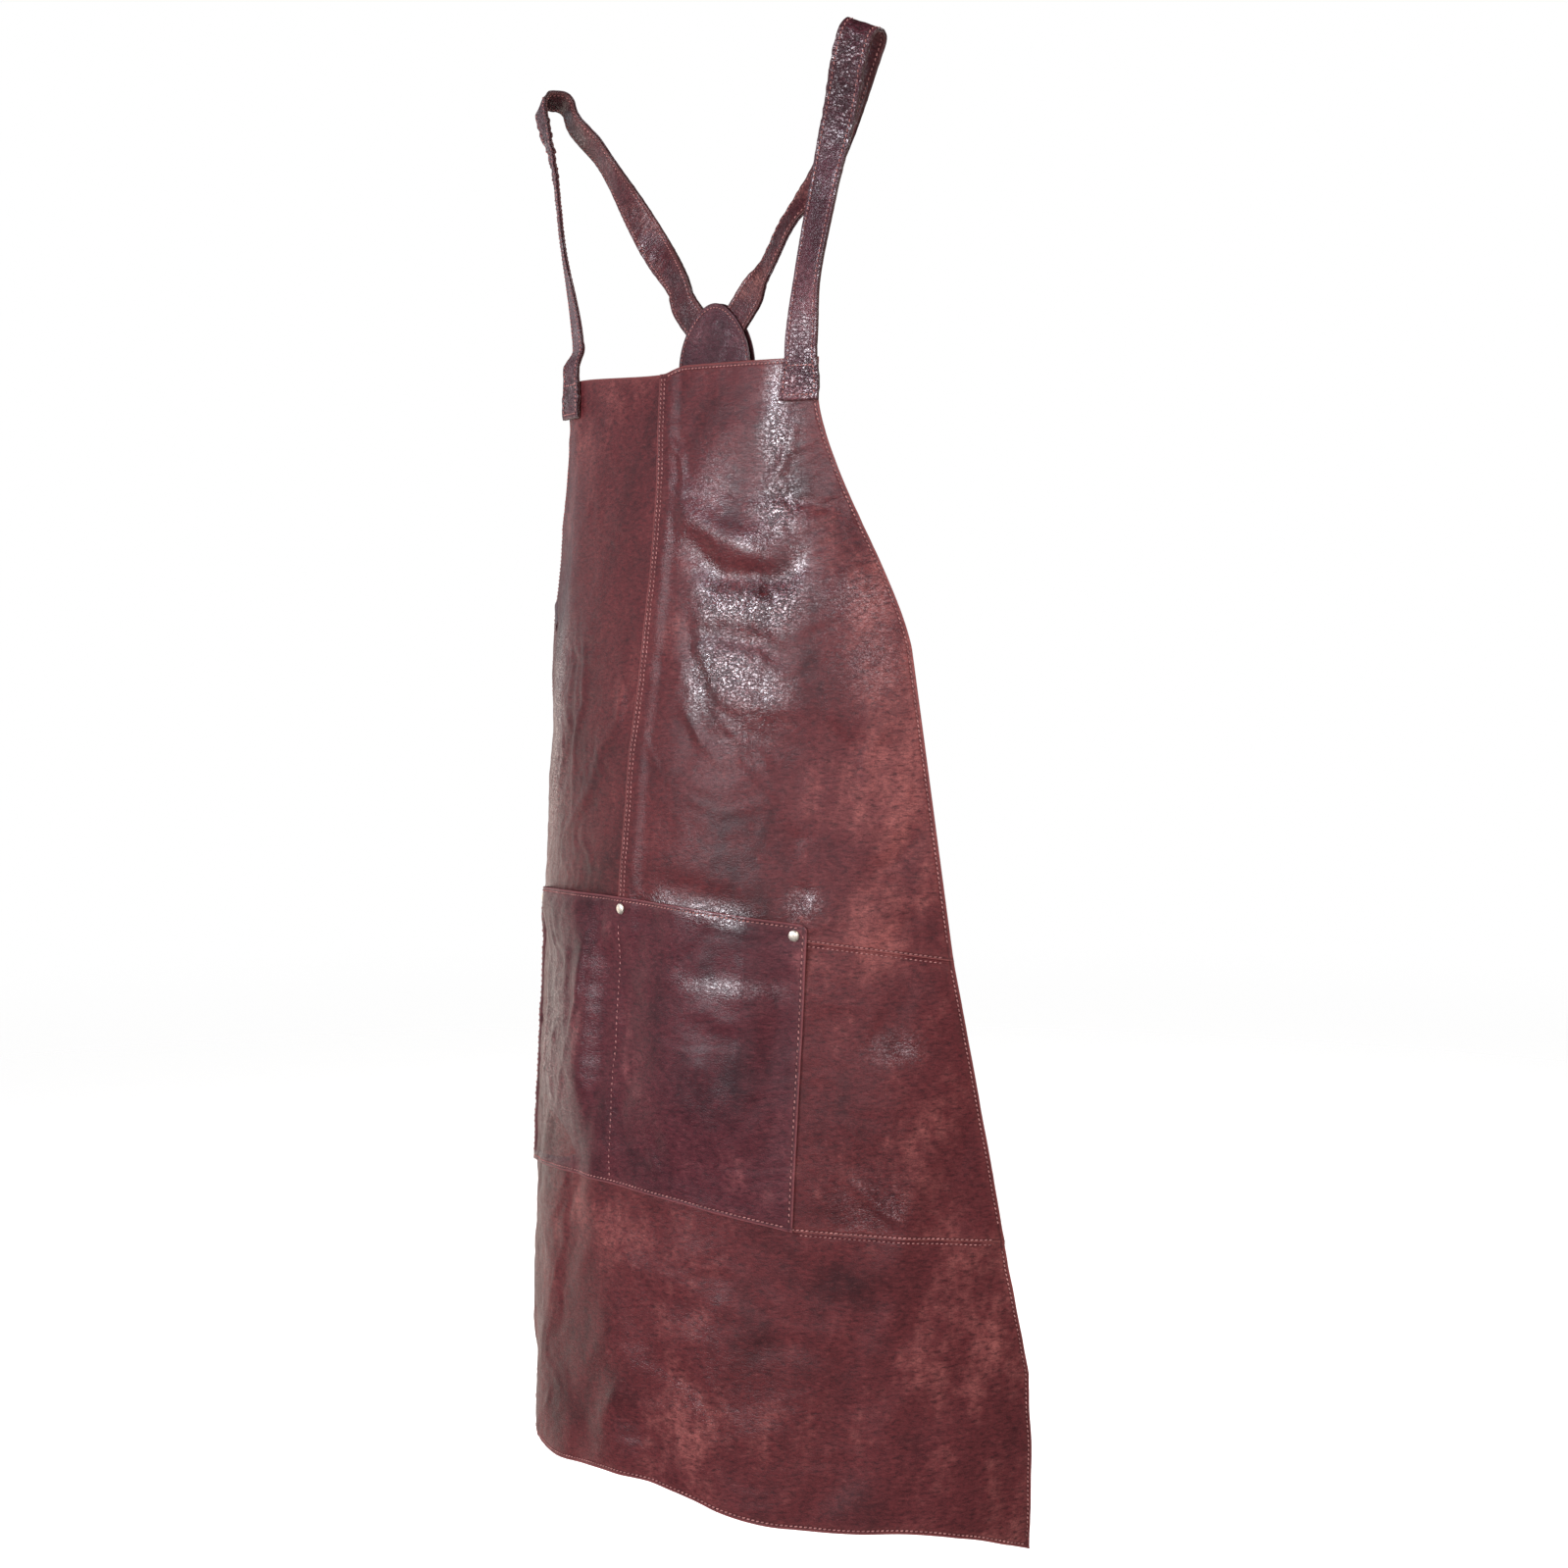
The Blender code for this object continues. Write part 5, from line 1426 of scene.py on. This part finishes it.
def keeper(name, line, side):
    """A closed leather loop round the tab and the strap's tip, its corners soft, and its flat size."""
    half_w = STRAP_WIDTH / 2 + 0.0006
    low = -(LEATHER + GAP / 2) - 0.0005
    high = STRAP_SANDWICH + GAP + 0.0003 + STRAP_SANDWICH / 2 + 0.0005
    bend = 0.0012
    centre = []
    for cw, cn, a0 in ((1, 1, 0), (-1, 1, 90), (-1, -1, 180), (1, -1, 270)):
        for i in range(8):
            a = math.radians(a0 + 90 * i / 7)
            mid = high - bend if cn > 0 else low + bend
            centre.append((cw * (half_w - bend), mid, math.cos(a), math.sin(a)))
    share, offset = stations(4, first=EDGE_STEPS[:5], last=EDGE_STEPS[:5])
    across = share * KEEPER_LENGTH + offset
    edge = np.minimum(across, KEEPER_LENGTH - across)
    half = edge_half(edge)
    outer, inner = [], []
    for w, n, cos_a, sin_a in centre:
        for grid, sign in ((outer, 1), (inner, -1)):
            r = bend + LEATHER / 2 + sign * half
            grid.append([line.at(KEEPER_AT - KEEPER_LENGTH / 2 + x, n + ri * sin_a, w + ri * cos_a)
                         for x, ri in zip(across, r)])
    cols, rows = len(across), len(centre)
    points = np.concatenate([np.array(outer).reshape(-1, 3), np.array(inner).reshape(-1, 3)]) * (side, 1, 1)
    index = np.arange(rows * cols).reshape(rows, cols)
    faces = []
    for i in range(rows):
        k = (i + 1) % rows
        for j in range(cols - 1):
            quad = [index[i, j], index[i, j + 1], index[k, j + 1], index[k, j]]
            faces.append([int(q) for q in quad])
            faces.append([int(q) + rows * cols for q in quad[::-1]])
        for j, turn in ((0, 1), (cols - 1, -1)):
            quad = [index[i, j], index[k, j], index[k, j] + rows * cols, index[i, j] + rows * cols]
            faces.append([int(q) for q in quad[::turn]])
    girth = np.linspace(0, 2 * (2 * half_w + high - low), rows)
    uv = np.stack(np.meshgrid(across + 4.1, girth), -1).reshape(-1, 2)
    flat = np.zeros(rows * cols)
    fields = {"edge": np.tile(edge, rows), "groove": flat, "crumple": flat + 0.2, "tone_and_shade": flat,
              "polish": flat + 0.5}
    fields = {k: np.concatenate([f, f]) for k, f in fields.items()}
    obj = add_mesh(name, points, faces, FINISH["strap"], np.concatenate([uv, uv + 0.7]), fields)
    return obj, (KEEPER_LENGTH, 2 * (2 * half_w + high - low) + 4 * LEATHER)


def cut_with(obj, tools):
    for tool in tools:
        mod = obj.modifiers.new("cut", "BOOLEAN")
        mod.object = tool
        mod.solver = "EXACT"
    bpy.context.view_layer.update()
    graph = bpy.context.evaluated_depsgraph_get()
    mesh = bpy.data.meshes.new_from_object(obj.evaluated_get(graph), depsgraph=graph)
    obj.modifiers.clear()
    obj.data = mesh


def slot_tool(line, side, s0, s1, n0, n1):
    """A cutter for the slot that the prong passes through, from s0 to s1 along the strap."""
    corners = [line.at(s, n, w) * (side, 1, 1)
               for s in (s0, s1) for n in (n0, n1) for w in (-PRONG_SLOT / 2, PRONG_SLOT / 2)]
    loops = [[0, 1, 3, 2], [4, 6, 7, 5], [0, 4, 5, 1], [2, 3, 7, 6], [0, 2, 6, 4], [1, 5, 7, 3]]
    return add_mesh("slot_tool", np.array(corners), loops, FINISH["strap"])


def hole_tools(line, side):
    """Cutters for the lower strap's row of holes."""
    tools = []
    plug = [(0, 0.008), (HOLE_R, 0.008), (HOLE_R, -0.008), (0, -0.008)]
    for i in range(HOLE_COUNT):
        s = BAR_AT + BUCKLE_LENGTH + 0.018 + HOLE_PITCH * i
        tools.append(turned(f"hole_tool_{i}", plug, line.at(s) * (side, 1, 1), line.out * (side, 1, 1),
                            FINISH["strap"], sides=24))
    return tools


def build_lower_strap(label, side, line, ribbon):
    surface = STRAP_SANDWICH / 2
    levels = {"lining": (surface - LEATHER, surface), "outer": (-surface, -surface + LEATHER)}
    tools = [slot_tool(line, side, BAR_AT + 0.0015, BAR_AT + 0.0155, -0.008, 0.012)] + hole_tools(line, side)
    layers, sewing = double_strap(f"lower_{label}", f"lower_strap_{label}", ribbon, levels,
                                  lambda s: 0.00010 + 0 * s, 91 if side > 0 else 97,
                                  {"lining": 0.03, "outer": 0.03}, cutters=tools)
    stitches = thread(f"lower_{label}_stitches", sewing)
    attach(stitches, "apron")
    for tool in tools:
        bpy.data.objects.remove(tool)


def build_waist_tab(label, side, line):
    """The folded tab, slotted for the prong and sewn in a box to the apron."""
    fold = tab_ribbon(line, side)
    tab, _ = strap_layer(f"tab_{label}", fold, -LEATHER / 2, LEATHER / 2, "strap", lambda s: 0 * s, 101,
                         width=WAIST_TAB_WIDTH, rows=False)
    tool = slot_tool(line, side, BAR_AT - 0.0055, BAR_AT + 0.006, -0.006, 0.006)
    cut_with(tab, [tool])
    bpy.data.objects.remove(tool)
    fit(tab, "apron", f"waist_tab_{label}")
    sewn_end = fold.s < 0.027
    rows = []
    for w in (-WAIST_TAB_WIDTH / 2 + EDGE_ROW, WAIST_TAB_WIDTH / 2 - EDGE_ROW):
        points = fold.centre + fold.across * w - fold.out * LEATHER / 2
        rows.append((points[sewn_end], -fold.out[sewn_end]))
    for s_at in (0.003, 0.025):
        rows.append(cross_row(fold, s_at, lambda s: WAIST_TAB_WIDTH / 2 - EDGE_ROW, -LEATHER / 2, -1, 20))
    stitches = thread(f"tab_{label}_stitches", rows)
    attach(stitches, "apron")


def build_buckle(label, side, line):
    """The buckle's frame, its prong and its roller, each on the body that it moves with."""
    frame_wire = wire_loop(f"buckle_{label}", line, side)
    tongue = prong(f"prong_{label}", line, side)
    half = ROLLER_LENGTH / 2
    tube = [(ROLLER_BORE, -half), (ROLLER_R - 0.0003, -half), (ROLLER_R, -half + 0.0003),
            (ROLLER_R, half - 0.0003), (ROLLER_R - 0.0003, half), (ROLLER_BORE, half), (ROLLER_BORE, -half)]
    centre = line.at(BAR_AT + BUCKLE_LENGTH) * (side, 1, 1)
    roller = turned(f"roller_{label}", tube, centre, line.across * (side, 1, 1), FINISH["nickel"])
    fit(frame_wire, "apron", f"buckle_frame_{label}")
    fit(tongue, f"{label}_prong", f"buckle_prong_{label}")
    fit(roller, f"{label}_roller", f"buckle_roller_{label}")


def build_lower_harness():
    line = StrapLine()
    left_run = lower_ribbon(line)
    for label, side in (("left", 1), ("right", -1)):
        build_lower_strap(label, side, line, left_run if side > 0 else left_run.mirrored())
        build_waist_tab(label, side, line)
        build_buckle(label, side, line)
        loop, flat = keeper(f"keeper_{label}", line, side)
        fit(loop, f"{label}_keeper", f"strap_keeper_{label}")


# ---- studio --------------------------------------------------------------------------------
CAMERA_AZIMUTH = 47.0
CAMERA_ELEVATION = 4.75
CAMERA_DISTANCE = 1.808
CAMERA_TARGET = Vector((0.133, -0.032, -0.557))
LIGHTS_AIM = Vector((0.10, -0.10, -0.60))
CAMERA_LENS = 54.73
WORLD_SOFT = 0.40
WORLD_GLOSS = 0.025
FLOOR_GLOW = 0.45


def direction(azimuth, elevation):
    """From the object towards a place in the studio, in degrees; azimuth 0 is straight in front."""
    a, e = math.radians(azimuth), math.radians(elevation)
    return Vector((math.sin(a) * math.cos(e), -math.cos(a) * math.cos(e), math.sin(e)))


def softbox(name, azimuth, elevation, distance, width, height, power, colour, matt_only=False):
    data = bpy.data.lights.new(name, "AREA")
    data.shape = "RECTANGLE"
    data.size, data.size_y = width, height
    data.energy = power
    data.color = colour
    obj = bpy.data.objects.new(name, data)
    bpy.context.scene.collection.objects.link(obj)
    back = direction(azimuth, elevation)
    obj.location = LIGHTS_AIM + back * distance
    obj.visible_glossy = not matt_only
    obj.rotation_euler = (-back).to_track_quat("-Z", "Y").to_euler()


def build_world():
    """White to the camera, soft to matt surfaces and dim in reflections, as flags would make it."""
    world = bpy.data.worlds.new("studio")
    bpy.context.scene.world = world
    world.use_nodes = True
    nodes, links = world.node_tree.nodes, world.node_tree.links
    path = nodes.new("ShaderNodeLightPath")
    previous = nodes["Background"]
    previous.inputs["Color"].default_value = (1.0, 0.99, 0.97, 1)
    previous.inputs["Strength"].default_value = WORLD_SOFT
    for ray, strength in (("Is Glossy Ray", WORLD_GLOSS), ("Is Camera Ray", 1.0)):
        look = nodes.new("ShaderNodeBackground")
        look.inputs["Color"].default_value = (1.0, 1.0, 1.0, 1)
        look.inputs["Strength"].default_value = strength
        mix = nodes.new("ShaderNodeMixShader")
        links.new(path.outputs[ray], mix.inputs[0])
        links.new(previous.outputs[0], mix.inputs[1])
        links.new(look.outputs[0], mix.inputs[2])
        previous = mix
    links.new(previous.outputs[0], nodes["World Output"].inputs["Surface"])


def build_studio():
    """The lights, each named for its place: azimuth, elevation, distance, size, power, colour."""
    scene = bpy.context.scene
    scene.view_settings.view_transform = "Standard"
    build_world()
    softbox("window", -14, 12, 2.4, 1.15, 0.85, 52, (0.97, 0.95, 1.0))
    softbox("sheen", -18, 27, 2.6, 1.9, 1.0, 13, (0.82, 0.76, 1.0))
    softbox("left", -91, -15, 2.6, 3.0, 1.6, 25, (1.0, 0.88, 0.80))
    softbox("left_high", -84, 14, 2.6, 3.0, 1.3, 9, (0.96, 0.94, 1.0))
    softbox("rim", 100, 36, 2.6, 0.8, 1.4, 40, (1.0, 0.98, 0.95))
    softbox("front", 33, 3, 3.0, 2.2, 1.1, 34, (1.0, 0.91, 0.96))
    softbox("fill", 40, 30, 3.2, 2.4, 2.0, 16, (1.0, 0.97, 0.92), matt_only=True)
    softbox("rear", 172, 30, 3.2, 2.0, 1.6, 50, (1.0, 0.98, 0.96))
    camera = bpy.data.cameras.new("camera")
    camera.sensor_width = 36
    camera.lens = CAMERA_LENS
    eye = bpy.data.objects.new("camera", camera)
    scene.collection.objects.link(eye)
    back = direction(CAMERA_AZIMUTH, CAMERA_ELEVATION)
    eye.location = CAMERA_TARGET + back * CAMERA_DISTANCE
    eye.rotation_euler = (-back).to_track_quat("-Z", "Y").to_euler()
    scene.camera = eye


def build_floor():
    """A round pale floor under the hem that fades into the backdrop."""
    segments, radius = 96, 7.0
    z = float(cad_low[2]) - 0.32
    turn = 2 * math.pi * np.arange(segments) / segments
    points = [(0.0, 0.0, z)] + [(radius * math.cos(a), radius * math.sin(a), z) for a in turn]
    faces = [[0, 1 + i, 1 + (i + 1) % segments] for i in range(segments)]
    g = Graph("floor_look")
    where = g.node("TexCoord").outputs["Object"]
    far = g.node("VectorMath", {"operation": "LENGTH"})
    g.feed(far.inputs[0], where)
    fade = g.span(far.outputs["Value"], 1.2, 5.5)
    clear = g.node("BsdfTransparent")
    mix = g.node("MixShader")
    g.feed(mix.inputs[0], fade)
    speck = g.noise(where, 14.0, 3.0)
    g.feed(g.shader.inputs["Base Color"], g.blend(speck, (0.93, 0.93, 0.93), (0.97, 0.97, 0.97)))
    g.shader.inputs["Roughness"].default_value = 0.8
    g.shader.inputs["Emission Color"].default_value = (1, 1, 1, 1)
    g.shader.inputs["Emission Strength"].default_value = FLOOR_GLOW
    g.feed(mix.inputs[1], g.shader.outputs[0])
    g.feed(mix.inputs[2], clear.outputs[0])
    g.feed(g.tree.nodes["Material Output"].inputs["Surface"], mix.outputs[0])
    floor = add_mesh("floor", np.array(points), faces, g.material)
    floor.visible_glossy = False


build_studio()
build_floor()
sheets = build_panels()
body_stitches = build_body_stitches()
build_rivets()
build_patch()
build_shoulder_straps()
build_lower_harness()
